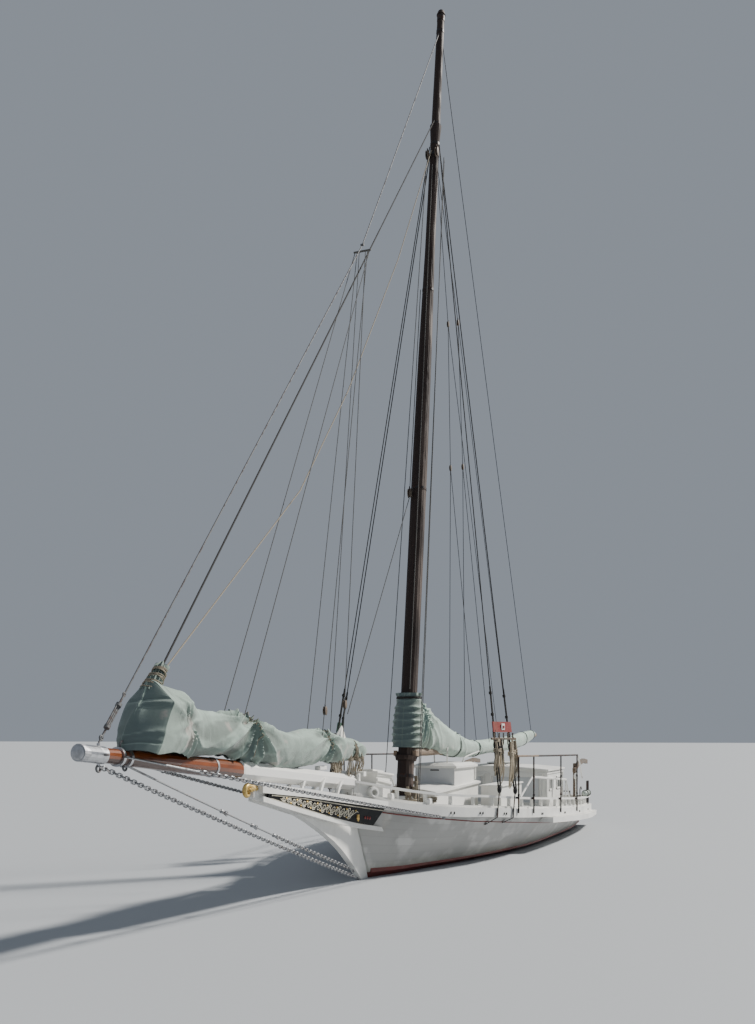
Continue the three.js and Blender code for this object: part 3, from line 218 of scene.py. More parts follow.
def repeated(shape, offsets, turns=None):
    """Copies of a shape at many places: points times each 3 by 3 turn, plus each offset."""
    offsets = np.asarray(offsets, float).reshape(-1, 3)
    count = len(offsets)
    turns = np.broadcast_to(np.eye(3), (count, 3, 3)) if turns is None else np.asarray(turns, float)
    points = np.einsum("nij,pj->npi", turns, shape.points) + offsets[:, None, :]
    shift = (np.arange(count) * len(shape.points))[:, None, None]
    return Shape(points, shape.quads[None] + shift, shape.tris[None] + shift, np.tile(shape.uv, (count, 1)))


def grid(points, uv=None):
    """A surface over a grid of points, rows by columns; faces look along rows crossed with columns."""
    index = np.arange(points.shape[0] * points.shape[1]).reshape(points.shape[:2])
    quads = np.stack([index[:-1, :-1], index[1:, :-1], index[1:, 1:], index[:-1, 1:]], -1)
    return Shape(points, quads, uv=uv)


def fan(ring, outward):
    """Triangles from a ring's middle to its edge, facing outward."""
    ring = ring[:-1] if np.allclose(ring[0], ring[-1]) else ring
    points = np.vstack([ring, ring.mean(0)])
    corner = np.arange(len(ring))
    tris = np.stack([corner, np.roll(corner, -1), np.full(len(ring), len(ring))], 1)
    facing = np.cross(points[tris[:, 1]] - points[tris[:, 0]], points[tris[:, 2]] - points[tris[:, 0]]).sum(0)
    return Shape(points, tris=tris if facing @ np.asarray(outward, float) > 0 else tris[:, ::-1])


def unit(vector):
    """Vectors divided by their lengths."""
    vector = np.asarray(vector, float)
    return vector / np.maximum(np.linalg.norm(vector, axis=-1, keepdims=True), 1e-12)


def axes_along(path, up):
    """Directions of a path at each point: along it, to its left and over it. Where the path runs along its
    own upward direction, the level axis that lies most across it is taken instead."""
    path = np.asarray(path, float)
    along = unit(np.gradient(path, axis=0))
    if np.abs(along @ np.asarray(up, float)).max() > 0.999:
        up = min((ACROSS, AHEAD), key=lambda axis: np.abs(along @ axis).max())
    left = unit(np.cross(np.broadcast_to(up, along.shape), along))
    return along, left, np.cross(along, left)


def sweep(path, profile, up=UP, scale=1.0):
    """A closed profile of left and over coordinates carried along a path: path point plus the profile
    times the path's left and over directions, times a scale that may change along the path."""
    path = np.asarray(path, float)
    along, left, over = axes_along(path, up)
    profile = np.vstack([profile, profile[:1]])
    scale = np.broadcast_to(np.asarray(scale, float).reshape(-1, 1, 1), (len(path), 1, 1))
    side, rise = profile[None, :, :1] * scale, profile[None, :, 1:] * scale
    points = path[:, None, :] + side * left[:, None, :] + rise * over[:, None, :]
    run = np.concatenate([[0.0], np.cumsum(np.linalg.norm(np.diff(path, axis=0), axis=1))])
    around = np.linspace(0.0, 1.0, len(profile))
    uv = np.stack(np.broadcast_arrays(run[:, None], around[None, :]), -1)
    skin = grid(points, uv)
    skin.quads = skin.quads[:, ::-1] if signed_area(profile) > 0 else skin.quads
    return joined([skin, fan(points[0], -along[0]), fan(points[-1], along[-1])])


def signed_area(profile):
    """A profile's area, above zero where its points run anticlockwise: half the sum of the cross products."""
    x, y = profile[:, 0], profile[:, 1]
    return 0.5 * float(np.sum(x * np.roll(y, -1) - np.roll(x, -1) * y))


def circle(radius, sides):
    """A round profile: radius times the cosine and sine of equal angles."""
    angle = np.linspace(0.0, 2 * math.pi, sides, endpoint=False)
    return radius * np.stack([np.cos(angle), np.sin(angle)], 1)


def tube(path, radius, sides, up=UP):
    """A round skin about a path, with a radius that may change along it."""
    return sweep(path, circle(1.0, sides), up, radius)


def rod(start, end, radius, sides, up=UP):
    """A straight round bar between two points."""
    return tube(straight(start, end), radius, sides, up)


def chamfered(width, height, cut):
    """A rectangle with its corners cut off at an equal distance."""
    w, h = width / 2, height / 2
    right = np.array([[w - cut, -h], [w, cut - h], [w, h - cut], [w - cut, h]])
    return np.vstack([right, -right])


def timber(start, end, width, height, up=UP, cut=0.006):
    """A straight bar between two points, with all its edges chamfered."""
    start, end = np.asarray(start, float), np.asarray(end, float)
    run = unit(end - start)
    path = np.array([start, start + run * cut, end - run * cut, end])
    inner = (min(width, height) - 2 * cut) / min(width, height)
    return sweep(path, chamfered(width, height, cut), up, [inner, 1.0, 1.0, inner])


def slab(low, high, cut):
    """A chamfered block between its lowest and highest corners."""
    low, high = np.asarray(low, float), np.asarray(high, float)
    middle, size = (low + high) / 2, high - low
    start = middle - [size[0] / 2, 0.0, 0.0]
    return timber(start, start + [size[0], 0.0, 0.0], size[1], size[2], UP, cut)


def lathe(profile, origin, axis, sides):
    """A profile of radius and height turned round an axis through the origin."""
    profile = np.asarray(profile, float)
    axis = unit(axis)
    first = unit(np.cross(axis, AHEAD if abs(axis[0]) < 0.9 else ACROSS))
    second = np.cross(axis, first)
    angle = np.linspace(0.0, 2 * math.pi, sides + 1)
    around = np.cos(angle)[None, :, None] * first + np.sin(angle)[None, :, None] * second
    points = np.asarray(origin, float) + profile[:, None, :1] * around + profile[:, None, 1:] * axis
    uv = np.stack(np.broadcast_arrays(profile[:, 1:], angle[None, :] / (2 * math.pi)), -1)
    return grid(points, uv)


def ring(middle, axis, major, minor, sides=24, section=8):
    """A torus about an axis: major radius to the wire's middle, minor radius of the wire."""
    angle = np.linspace(0.0, 2 * math.pi, section + 1)
    return lathe(np.stack([major + minor * np.cos(angle), minor * np.sin(angle)], 1), middle, axis, sides)


def ball(middle, radius, squash, axis, sides):
    """A round or flattened ball: a half circle turned about its axis."""
    angle = np.linspace(-math.pi / 2, math.pi / 2, sides // 2 + 1)
    return lathe(np.stack([radius * np.cos(angle), radius * squash * np.sin(angle)], 1), middle, axis, sides)


# Points closer than this are one point
DOUBLED = 2e-5


def placed(name, data):
    """An object of some data, linked to the scene."""
    made = bpy.data.objects.new(name, data)
    bpy.context.scene.collection.objects.link(made)
    return made


def finished(mesh):
    """Merges the doubled points of seams and poles and drops faces with no area."""
    work = bmesh.new()
    work.from_mesh(mesh)
    bmesh.ops.remove_doubles(work, verts=work.verts, dist=DOUBLED)
    bmesh.ops.dissolve_degenerate(work, edges=work.edges, dist=DOUBLED / 2)
    work.to_mesh(mesh)
    work.free()


def piece(name, shape, material, body="boat", crease=35.0, slot=None, folds=None):
    """A mesh object of a shape, smooth up to a crease angle in degrees, with a material, riding on a body.
    Heights of folds, where given, are kept as an attribute of the points, for the cloth's painted light and shade."""
    mesh = bpy.data.meshes.new(name)
    mesh.vertices.add(len(shape.points))
    mesh.vertices.foreach_set("co", shape.points.ravel())
    corners = np.concatenate([shape.quads.ravel(), shape.tris.ravel()])
    sizes = np.concatenate([np.full(len(shape.quads), 4), np.full(len(shape.tris), 3)])
    mesh.loops.add(len(corners))
    mesh.loops.foreach_set("vertex_index", corners)
    mesh.polygons.add(len(sizes))
    mesh.polygons.foreach_set("loop_start", np.concatenate([[0], np.cumsum(sizes)[:-1]]))
    mesh.update(calc_edges=True)
    layer = mesh.uv_layers.new(name="UVMap")
    layer.data.foreach_set("uv", shape.uv[corners].ravel())
    if folds is not None:
        mesh.attributes.new("fold", "FLOAT", "POINT").data.foreach_set("value", folds.ravel())
    finished(mesh)
    mesh.polygons.foreach_set("use_smooth", np.ones(len(mesh.polygons), bool))
    mesh.set_sharp_from_angle(angle=math.radians(crease))
    mesh.materials.append(finish(material))
    made = placed(name, mesh)
    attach(made, body)
    slot or FINISHES[material][0]
    return made


# Lines and places on the boat

def at(station, side, height):
    """Points from stations, distances to port and heights."""
    ahead = ORIGIN_STATION - np.asarray(station, float)
    return np.stack(np.broadcast_arrays(ahead, side, height), -1).astype(float)


def faired(rows, place):
    """A smooth curve through rows at row numbers: the cubic of each stretch between two rows whose slopes
    are half the differences of the rows on either side."""
    rows = np.vstack([2 * rows[0] - rows[1], rows, 2 * rows[-1] - rows[-2]])
    place = np.clip(np.asarray(place, float), 0.0, len(rows) - 3)
    row = np.minimum(place.astype(int), len(rows) - 4)
    t = (place - row)[..., None]
    a, b, c, d = (rows[row + step] for step in range(4))
    return b + 0.5 * t * (c - a + t * (2 * a - 5 * b + 4 * c - d + t * (3 * (b - c) + d - a)))


def crossing(rows, station):
    """The row numbers at which a line reaches given stations."""
    places = np.linspace(0.0, len(rows) - 1, 4001)
    return np.interp(station, faired(rows, places)[:, 0], places)


def sheer_at(station):
    """Half-breadth and height of the sheer at stations."""
    point = faired(SHEER_LINE, crossing(SHEER_LINE, station))
    return point[..., 1], point[..., 2]


def bulge_at(place):
    """How far the topside swells out at row numbers: the root of a half wave from bow to stern."""
    return TOPSIDE_BULGE * np.sqrt(np.clip(np.sin(math.pi * place / LAST_ROW), 0.0, 1.0))


def topside_at(station, height):
    """Half-breadth of the topside at stations and heights between chine and sheer."""
    half, top = sheer_at(station)
    chine = faired(CHINE_LINE, crossing(CHINE_LINE, station))
    part = (height - chine[..., 2]) / (top - chine[..., 2])
    bulge = bulge_at(crossing(SHEER_LINE, station))
    return chine[..., 1] + (half - chine[..., 1]) * part + bulge * 4 * part * (1 - part)


def deck_height(station):
    """Height of the deck's middle at stations."""
    return sheer_at(station)[1] + CROWN + DECK_TOP


def bowsprit_point(station, side=0.0, rise=0.0):
    """Points on the bowsprit's middle line at stations, moved aside and up."""
    height = BOWSPRIT_TIP_HEIGHT + BOWSPRIT_SLOPE * (np.asarray(station, float) - BOWSPRIT_TIP) + rise
    return at(station, side, height)


MAST_LINE = unit(at(*MAST_TOP) - at(*MAST_FOOT))


def mast_point(height, side=0.0, ahead=0.0):
    """Points on the mast's axis at heights, moved aside and ahead."""
    part = (np.asarray(height, float) - MAST_FOOT[2]) / (MAST_TOP[2] - MAST_FOOT[2])
    station = MAST_FOOT[0] + (MAST_TOP[0] - MAST_FOOT[0]) * part - ahead
    return at(station, side, height)


STAY_FOOT = at(*JIB_STAY_FOOT)
STAY_LINE = unit(mast_point(JIB_STAY_TOP) - STAY_FOOT)


def mast_radius(height):
    """Radius of the mast at heights, evenly between those in its table."""
    return np.interp(height, MAST_SIZES[:, 0], MAST_SIZES[:, 1])


def straight(start, end, steps=2):
    """Points from one end to the other, at equal distances."""
    part = np.linspace(0.0, 1.0, steps)[:, None]
    return np.asarray(start, float) * (1 - part) + np.asarray(end, float) * part


def sagging(start, end, sag, steps):
    """A line between two points that hangs by a sag in its middle, as a parabola."""
    path = straight(start, end, steps)
    part = np.linspace(0.0, 1.0, steps)
    path[:, 2] -= sag * 4 * part * (1 - part)
    return path


def rising(value, start, span):
    """0 up to the start, 1 beyond the span, and even between."""
    return np.clip((value - start) / span, 0.0, 1.0)


def smoothed(points, steps):
    """A smooth path through a few points, as the cubics of `faired`."""
    return faired(np.asarray(points, float), np.linspace(0.0, len(points) - 1.0, steps))


def noise(u, v, seed, octaves=4):
    """Smooth random values from -1 to 1 over two coordinates: random numbers at whole places, eased
    between them, in octaves of half the size and half the height."""
    total, weight = np.zeros(np.broadcast(u, v).shape), 0.0
    for octave in range(octaves):
        table = np.random.default_rng(seed + octave).uniform(-1.0, 1.0, (64, 64))
        x, y = u * 2.0 ** octave, v * 2.0 ** octave
        column, row = np.floor(x).astype(int), np.floor(y).astype(int)
        fx, fy = x - column, y - row
        fx, fy = fx * fx * (3 - 2 * fx), fy * fy * (3 - 2 * fy)
        corner = [table[(row + down) % 64, (column + right) % 64] for down in (0, 1) for right in (0, 1)]
        upper = corner[0] * (1 - fx) + corner[1] * fx
        lower = corner[2] * (1 - fx) + corner[3] * fx
        total = total + (upper * (1 - fy) + lower * fy) * 0.5 ** octave
        weight += 0.5 ** octave
    return total / weight


# Shared effects of the materials

def node(tree, kind, inputs=None, **values):
    """A new shader node with its values set and its inputs filled or linked."""
    made = tree.nodes.new(kind)
    for name, value in values.items():
        setattr(made, name, value)
    for name, value in (inputs or {}).items():
        if isinstance(value, bpy.types.NodeSocket):
            tree.links.new(value, made.inputs[name])
        else:
            made.inputs[name].default_value = value
    return made


def effect(name, inputs, outputs, wire):
    """A node group with named inputs and outputs, wired by a function that returns its outputs."""
    tree = bpy.data.node_groups.new(name, "ShaderNodeTree")
    for label, kind, default in inputs:
        socket = tree.interface.new_socket(label, in_out="INPUT", socket_type=kind)
        if default is not None:
            socket.default_value = default
    for label, kind in outputs:
        tree.interface.new_socket(label, in_out="OUTPUT", socket_type=kind)
    entry, leave = tree.nodes.new("NodeGroupInput"), tree.nodes.new("NodeGroupOutput")
    for (label, _), value in zip(outputs, wire(tree, entry.outputs)):
        tree.links.new(value, leave.inputs[label])
    return tree


FLOAT, VECTOR = "NodeSocketFloat", "NodeSocketVector"


def maths(tree, operation, first, second=0.0):
    return node(tree, "ShaderNodeMath", {0: first, 1: second}, operation=operation).outputs[0]


def ramp(tree, value, low, high, to_low=0.0, to_high=1.0):
    """Eases a value from one range to another and keeps it inside."""
    return node(tree, "ShaderNodeMapRange", {
        "Value": value, "From Min": low, "From Max": high, "To Min": to_low, "To Max": to_high,
    }, interpolation_type="SMOOTHSTEP").outputs[0]


def scaled(tree, vector, x, y, z):
    return node(tree, "ShaderNodeVectorMath", {0: vector, 1: (x, y, z)}, operation="MULTIPLY").outputs[0]


def cloudy(tree, vector, scale, detail=5.0, distortion=0.0):
    inputs = {"Vector": vector, "Scale": scale, "Detail": detail, "Distortion": distortion}
    return node(tree, "ShaderNodeTexNoise", inputs).outputs[0]


def wire_mottle(tree, entry):
    return [ramp(tree, cloudy(tree, entry["Vector"], entry["Scale"], 6.0), entry["Low"], entry["High"])]


def wire_streaks(tree, entry):
    stretched = scaled(tree, entry["Vector"], 1.0, 1.0, 0.06)
    runs = ramp(tree, cloudy(tree, stretched, entry["Scale"], 4.0), 0.52, 0.72)
    patches = ramp(tree, cloudy(tree, entry["Vector"], 1.1, 2.0), 0.4, 0.65)
    return [maths(tree, "MULTIPLY", runs, patches)]


def wire_planks(tree, entry):
    place = maths(tree, "DIVIDE", entry["Across"], entry["Width"])
    inside = maths(tree, "FRACT", place)
    nearer = maths(tree, "MINIMUM", inside, maths(tree, "SUBTRACT", 1.0, inside))
    edge = maths(tree, "MULTIPLY", nearer, entry["Width"])
    half_seam = maths(tree, "MULTIPLY", entry["Seam"], 0.5)
    seam = node(tree, "ShaderNodeMapRange", {
        "Value": edge, "From Min": half_seam, "From Max": entry["Seam"], "To Min": 1.0, "To Max": 0.0,
    }).outputs[0]
    number = maths(tree, "FLOOR", place)
    return [seam, node(tree, "ShaderNodeTexWhiteNoise", {"W": number}, noise_dimensions="1D").outputs[0]]


def wire_grain(tree, entry):
    bent = cloudy(tree, entry["Vector"], 1.6, 3.0, 0.4)
    fine = cloudy(tree, entry["Vector"], 9.0, 6.0, 1.2)
    bands = node(tree, "ShaderNodeMath", {0: maths(tree, "MULTIPLY", bent, 34.0)}, operation="SINE").outputs[0]
    tone = maths(tree, "ADD", maths(tree, "MULTIPLY", bands, 0.22), fine)
    checks = ramp(tree, cloudy(tree, entry["Vector"], 4.0, 2.0), 0.66, 0.72)
    return [ramp(tree, tone, 0.25, 0.85), checks]


def wire_edges(tree, entry):
    soft = node(tree, "ShaderNodeBevel", {"Radius": entry["Radius"]}, samples=4).outputs[0]
    flat = node(tree, "ShaderNodeNewGeometry").outputs["Normal"]
    same = node(tree, "ShaderNodeVectorMath", {0: soft, 1: flat}, operation="DOT_PRODUCT").outputs["Value"]
    rough = cloudy(tree, entry["Vector"], 14.0, 5.0)
    edge = ramp(tree, same, 0.985, 0.9)
    return [maths(tree, "MULTIPLY", edge, ramp(tree, rough, 0.45, 0.62))]


def wire_weave(tree, entry):
    threads = scaled(tree, entry["Vector"], 1.0, 1.0, 0.0)
    parts = node(tree, "ShaderNodeSeparateXYZ", {0: threads}).outputs
    turn = maths(tree, "MULTIPLY", entry["Threads"], 2 * math.pi)
    warp = maths(tree, "SINE", maths(tree, "MULTIPLY", parts[0], turn))
    weft = maths(tree, "SINE", maths(tree, "MULTIPLY", parts[1], turn))
    return [maths(tree, "MULTIPLY", warp, weft)]


def wire_twist(tree, entry):
    parts = node(tree, "ShaderNodeSeparateXYZ", {0: entry["Vector"]}).outputs
    along = maths(tree, "DIVIDE", parts[0], entry["Lay"])
    around = maths(tree, "MULTIPLY", parts[1], entry["Strands"])
    wave = maths(tree, "SINE", maths(tree, "MULTIPLY", maths(tree, "ADD", along, around), 2 * math.pi))
    return [ramp(tree, wave, -1.0, 1.0)]


# The node groups by name, once they are made
EFFECTS = {}


def make_effects():
    """The node groups that the materials share."""
    vector = ("Vector", VECTOR, None)
    mask, height = ("Mask", FLOAT), ("Height", FLOAT)
    for name, inputs, outputs, wire in (
        ("Mottle", [vector, ("Scale", FLOAT, 1.0), ("Low", FLOAT, 0.4), ("High", FLOAT, 0.7)], [mask], wire_mottle),
        ("Streaks", [vector, ("Scale", FLOAT, 6.0)], [mask], wire_streaks),
        ("Planks", [("Across", FLOAT, 0.0), ("Width", FLOAT, 0.1), ("Seam", FLOAT, 0.005)],
         [("Seam", FLOAT), ("Tone", FLOAT)], wire_planks),
        ("Grain", [vector], [("Tone", FLOAT), ("Checks", FLOAT)], wire_grain),
        ("Worn edges", [vector, ("Radius", FLOAT, 0.01)], [mask], wire_edges),
        ("Weave", [vector, ("Threads", FLOAT, 300.0)], [height], wire_weave),
        ("Twist", [vector, ("Lay", FLOAT, 0.05), ("Strands", FLOAT, 1.0)], [height], wire_twist),
    ):
        EFFECTS[name] = effect(name, inputs, outputs, wire)


# Materials

class Coat:
    """A material being built: its shader, its pattern coordinates and the colour so far."""

    def __init__(self, name, base, roughness, metallic=0.0, stretch=(1.0, 1.0, 1.0), **plain):
        self.material = bpy.data.materials.new(name)
        self.material.use_nodes = True
        self.tree = self.material.node_tree
        self.shader = self.tree.nodes["Principled BSDF"]
        for socket, value in {"Metallic": metallic, "Roughness": roughness, **plain}.items():
            self.shader.inputs[socket.replace("_", " ")].default_value = value
        self.place = node(self.tree, "ShaderNodeTexCoord").outputs
        self.object = self.place["Object"]
        self.vector = scaled(self.tree, self.object, *stretch)
        self.colour = node(self.tree, "ShaderNodeRGB").outputs[0]
        self.colour.default_value = (*base, 1.0)
        self.bumps = None

    def use(self, name, **inputs):
        """An effect's node with its inputs set, on the stretched object coordinates unless others are given."""
        made = node(self.tree, "ShaderNodeGroup", node_tree=EFFECTS[name])
        if "Vector" in made.inputs:
            inputs.setdefault("Vector", self.vector)
        for label, value in inputs.items():
            if isinstance(value, bpy.types.NodeSocket):
                self.tree.links.new(value, made.inputs[label])
            else:
                made.inputs[label].default_value = value
        return made.outputs

    def paint(self, mask, colour, amount=1.0):
        """Lays a colour over the one so far, where a mask says."""
        share = maths(self.tree, "MULTIPLY", mask, amount)
        inputs = {0: share, 6: self.colour, 7: (*colour, 1.0)}
        self.colour = node(self.tree, "ShaderNodeMix", inputs, data_type="RGBA").outputs[2]

    def mottle(self, scale, low, high, colour, amount):
        """Lays a colour in soft patches where noise of a scale passes from low to high, and gives their mask."""
        mask = self.use("Mottle", Scale=scale, Low=low, High=high)["Mask"]
        self.paint(mask, colour, amount)
        return mask

    def mask(self, name, colour, amount, **inputs):
        """Lays a colour where the streaks or the worn edges are."""
        self.paint(self.use(name, **inputs)["Mask"], colour, amount)

    def rough(self, mask, low, high):
        level = ramp(self.tree, mask, 0.0, 1.0, low, high)
        self.tree.links.new(level, self.shader.inputs["Roughness"])

    def raise_by(self, height, distance, strength=0.6):
        """Bumps by a height, on top of those so far."""
        inputs = {"Height": height, "Distance": distance, "Strength": strength}
        if self.bumps is not None:
            inputs["Normal"] = self.bumps
        self.bumps = node(self.tree, "ShaderNodeBump", inputs).outputs[0]

    def dent(self, scale, distance, strength):
        """Bumps by noise of a scale."""
        self.raise_by(self.cloud(scale), distance, strength)

    def cloud(self, scale):
        return cloudy(self.tree, self.object, scale)

    def maths(self, operation, first, second):
        return maths(self.tree, operation, first, second)

    def rest(self, mask):
        """What a mask leaves: 1 minus it."""
        return self.maths("SUBTRACT", 1.0, mask)

    def ease(self, value, low, high):
        return ramp(self.tree, value, low, high)

    def split(self, vector=None):
        return node(self.tree, "ShaderNodeSeparateXYZ", {0: vector or self.object}).outputs

    def facing(self):
        """The parts of the surface's direction along X, Y and Z."""
        return self.split(node(self.tree, "ShaderNodeNewGeometry").outputs["Normal"])

    def done(self):
        self.tree.links.new(self.colour, self.shader.inputs["Base Color"])
        if self.bumps is not None:
            self.tree.links.new(self.bumps, self.shader.inputs["Normal"])
        return self.material


def times(colour, factor):
    return tuple(min(1.0, part * factor) for part in colour)


def painted(name, base, wood, dirt=0.5):
    """Brushed paint on wood, with soft mottling, dirty runs and edges worn to the wood."""
    coat = Coat(name, base, 0.45)
    coat.mottle(1.4, 0.42, 0.72, times(base, 0.84), 0.8)
    coat.mottle(9.0, 0.5, 0.75, times(base, 0.9), 0.5)
    coat.mask("Streaks", (0.3, 0.25, 0.17), 0.28 * dirt, Scale=5.0)
    coat.mask("Worn edges", wood, 0.55, Radius=0.008)
    coat.raise_by(cloudy(coat.tree, scaled(coat.tree, coat.object, 3.0, 30.0, 30.0), 1.0, 4.0), 0.002, 0.35)
    coat.rough(coat.cloud(3.0), 0.35, 0.63)
    return coat.done()


def hull_paint(paint):
    """White topsides in painted shade, with strakes along the sheer, over a dark red bottom with a grown waterline.
    """
    hull = bpy.context.scene.skipjack_hull
    # Half the paint's white: painted shade, as the flared topsides lie in their own shade
    white = times(paint.white, 0.5)
    coat = Coat("Hull paint", white, 0.4)
    uv = coat.split(coat.place["UV"])
    planks = coat.use("Planks", Across=uv[1], Width=1.0 / hull.strakes, Seam=hull.seam)
    coat.mottle(0.9, 0.4, 0.66, times(white, 0.72), 0.8)
    # Lighter patches: painted reflected light from the water on the shaded topsides
    coat.mottle(2.2, 0.5, 0.64, times(white, 1.7), 0.6)
    coat.paint(planks["Tone"], times(white, 0.93), 0.5)
    coat.mask("Streaks", (0.34, 0.28, 0.18), 0.3, Scale=4.0)
    height = coat.split()[2]
    # Yellowish grey on the lower topside, towards the waterline, in ragged patches
    ragged_height = coat.maths("ADD", height, coat.maths("MULTIPLY", coat.cloud(3.0), 0.3))
    coat.paint(coat.ease(ragged_height, 0.5, 0.2), (0.42, 0.42, 0.3), 0.35)
    coat.paint(planks["Seam"], times(white, 0.55), 0.18)
    coat.paint(coat.ease(height, 0.101, 0.099), paint.bottom)
    growth = coat.maths("MULTIPLY", coat.ease(height, 0.06, -0.08), coat.cloud(7.0))
    coat.paint(growth, (0.03, 0.035, 0.015), 0.9)
    coat.raise_by(coat.rest(planks["Seam"]), 0.003, 0.5)
    coat.dent(1.6, 0.02, 0.25)
    coat.rough(coat.cloud(2.2), 0.3, 0.55)
    return coat.done()


def bottom_paint(paint):
    coat = Coat("Bottom paint", paint.bottom, 0.65)
    coat.mottle(2.4, 0.4, 0.7, times(paint.bottom, 0.5), 0.8)
    coat.mottle(6.0, 0.55, 0.7, (0.05, 0.055, 0.025), 0.7)
    coat.dent(18.0, 0.006, 0.5)
    return coat.done()


def stripe_paint(paint):
    coat = Coat("Stripe paint", paint.stripe, 0.5)
    coat.mottle(3.0, 0.4, 0.7, times(paint.stripe, 0.6), 0.8)
    coat.mask("Streaks", (0.2, 0.16, 0.12), 0.5, Scale=7.0)
    coat.dent(24.0, 0.002, 0.4)
    return coat.done()


def deck_paint(paint):
    """Pale paint on narrow fore-and-aft planks, with dark seams and trodden patches."""
    hull = bpy.context.scene.skipjack_hull
    coat = Coat("Deck paint", paint.deck, 0.7)
    planks = coat.use("Planks", Across=coat.split()[1], Width=hull.deck_plank, Seam=hull.seam)
    coat.paint(planks["Tone"], times(paint.deck, 0.86), 0.7)
    coat.mottle(1.8, 0.42, 0.68, times(paint.deck, 0.72), 0.7)
    coat.paint(planks["Seam"], (0.08, 0.075, 0.065), 0.75)
    coat.raise_by(coat.rest(planks["Seam"]), 0.003)
    coat.rough(coat.cloud(4.0), 0.55, 0.85)
    return coat.done()


def varnished(paint):
    """Glossy red-brown varnish on long grain, in painted shade underneath, and white paint on the squared inner part.
    """
    coat = Coat("Varnished bowsprit", paint.varnish, 0.3, stretch=(0.35, 3.0, 3.0), Coat_Weight=0.5)
    grain = coat.use("Grain")
    coat.paint(grain["Tone"], times(paint.varnish, 1.9), 0.6)
    coat.paint(grain["Checks"], times(paint.varnish, 0.2), 0.85)
    coat.mottle(1.6, 0.5, 0.62, times(paint.varnish, 2.6), 0.5)
    coat.mottle(0.9, 0.5, 0.62, times(paint.varnish, 0.3), 0.75)
    # Faces that look down: painted shade under the bowsprit
    coat.paint(coat.ease(coat.facing()[2], 0.05, -0.6), times(paint.varnish, 0.25), 0.8)
    start = ORIGIN_STATION - OCTAGON_START + 0.05
    white = coat.ease(coat.split()[0], start + 0.004, start - 0.004)
    coat.paint(white, paint.white)
    soiled = coat.maths("MULTIPLY", white, coat.use("Mottle", Scale=1.2, Low=0.5, High=0.8)["Mask"])
    coat.paint(soiled, times(paint.white, 0.8), 0.7)
    coat.raise_by(grain["Tone"], 0.002, 0.3)
    coat.rough(white, 0.28, 0.5)
    return coat.done()


def mast_wood(paint):
    """Dark oiled pine with long dark checks, tan in weathered streaks on its port side only: painted sunlight."""
    coat = Coat("Mast wood", paint.mast, 0.7, stretch=(4.0, 4.0, 0.16), Specular_IOR_Level=0.25)
    grain = coat.use("Grain")
    # Tan only on the faces that look to port, towards the key light: painted sunlight, in weathered streaks
    lit = coat.ease(coat.facing()[1], 0.2, 0.9)
    worn = cloudy(coat.tree, scaled(coat.tree, coat.object, 3.0, 3.0, 0.5), 1.0)
    coat.paint(coat.maths("MULTIPLY", lit, coat.ease(worn, 0.38, 0.6)), (0.17, 0.13, 0.11), 0.75)
    coat.paint(grain["Tone"], (0.045, 0.032, 0.028), 0.45)
    coat.paint(grain["Checks"], (0.006, 0.005, 0.005), 0.9)
    coat.raise_by(grain["Tone"], 0.004, 0.5)
    coat.raise_by(coat.rest(grain["Checks"]), 0.006, 0.6)
    coat.rough(grain["Tone"], 0.6, 0.85)
    return coat.done()


def weathered_wood(name, base, stretch):
    """Silvered wood with open grain and dark checks."""
    coat = Coat(name, base, 0.8, stretch=stretch)
    grain = coat.use("Grain")
    coat.paint(grain["Tone"], times(base, 1.7), 0.6)
    coat.mottle(1.3, 0.45, 0.7, (0.16, 0.155, 0.14), 0.6)
    coat.paint(grain["Checks"], times(base, 0.2), 0.85)
    coat.raise_by(grain["Tone"], 0.003, 0.6)
    coat.rough(grain["Tone"], 0.65, 0.9)
    return coat.done()


def black_paint(paint):
    coat = Coat("Black paint", paint.black, 0.6, Specular_IOR_Level=0.15)
    coat.mottle(6.0, 0.5, 0.75, (0.03, 0.029, 0.027), 0.7)
    coat.mask("Worn edges", (0.1, 0.09, 0.08), 0.6, Radius=0.006)
    coat.dent(40.0, 0.001, 0.3)
    return coat.done()


def metal(name, base, stain, amount, roughness, metallic, scale=9.0):
    """Metal with blotches of its stain, rougher where it is stained."""
    coat = Coat(name, base, roughness, metallic)
    blotch = coat.mottle(scale, 0.45, 0.68, stain, amount)
    coat.mottle(scale * 4, 0.4, 0.7, times(base, 0.6), 0.5)
    coat.rough(blotch, roughness, min(0.95, roughness + 0.35))
    coat.dent(scale * 10, 0.001, 0.5)
    return coat.done()


def cloth(name, base, stains):
    """Faded canvas in painted light and shade: paler where it faces up and on its ridges, darker in its hollows and
    where it looks ahead, with a weave, seams, stains and streaks."""
    coat = Coat(name, base, 0.85, Sheen_Weight=0.25)
    ahead, _, up = coat.facing()
    # Faces that look up: painted light
    coat.paint(coat.ease(up, -0.1, 0.8), times(base, 1.5), 0.85)
    fold = node(coat.tree, "ShaderNodeAttribute", attribute_name="fold").outputs["Fac"]
    # Heights of the folds kept on the points: painted light on the ridges and painted shade in the hollows
    coat.paint(coat.ease(fold, 0.008, 0.035), times(base, 1.9), 0.6)
    coat.paint(coat.ease(fold, -0.004, -0.022), times(base, 0.36), 0.75)
    # Faces that look ahead, away from the key light: painted shade, darker and bluer
    coat.paint(coat.ease(ahead, 0.45, 0.85), (base[0] * 0.36, base[1] * 0.4, base[2] * 0.5), 0.8)
    coat.mottle(1.7, 0.42, 0.68, times(base, 0.8), 0.55)
    coat.mottle(2.3, 0.6, 0.68, stains, 0.4)
    coat.mask("Streaks", times(base, 0.62), 0.5, Scale=8.0)
    uv = coat.place["UV"]
    weave = coat.use("Weave", Vector=uv, Threads=260.0)["Height"]
    seams = coat.use("Planks", Across=coat.split(uv)[0], Width=0.92, Seam=0.012)["Seam"]
    coat.paint(seams, times(base, 0.7), 0.55)
    coat.raise_by(seams, 0.004, 0.5)
    coat.dent(22.0, 0.004, 0.35)
    coat.raise_by(weave, 0.0008, 0.4)
    return coat.done()


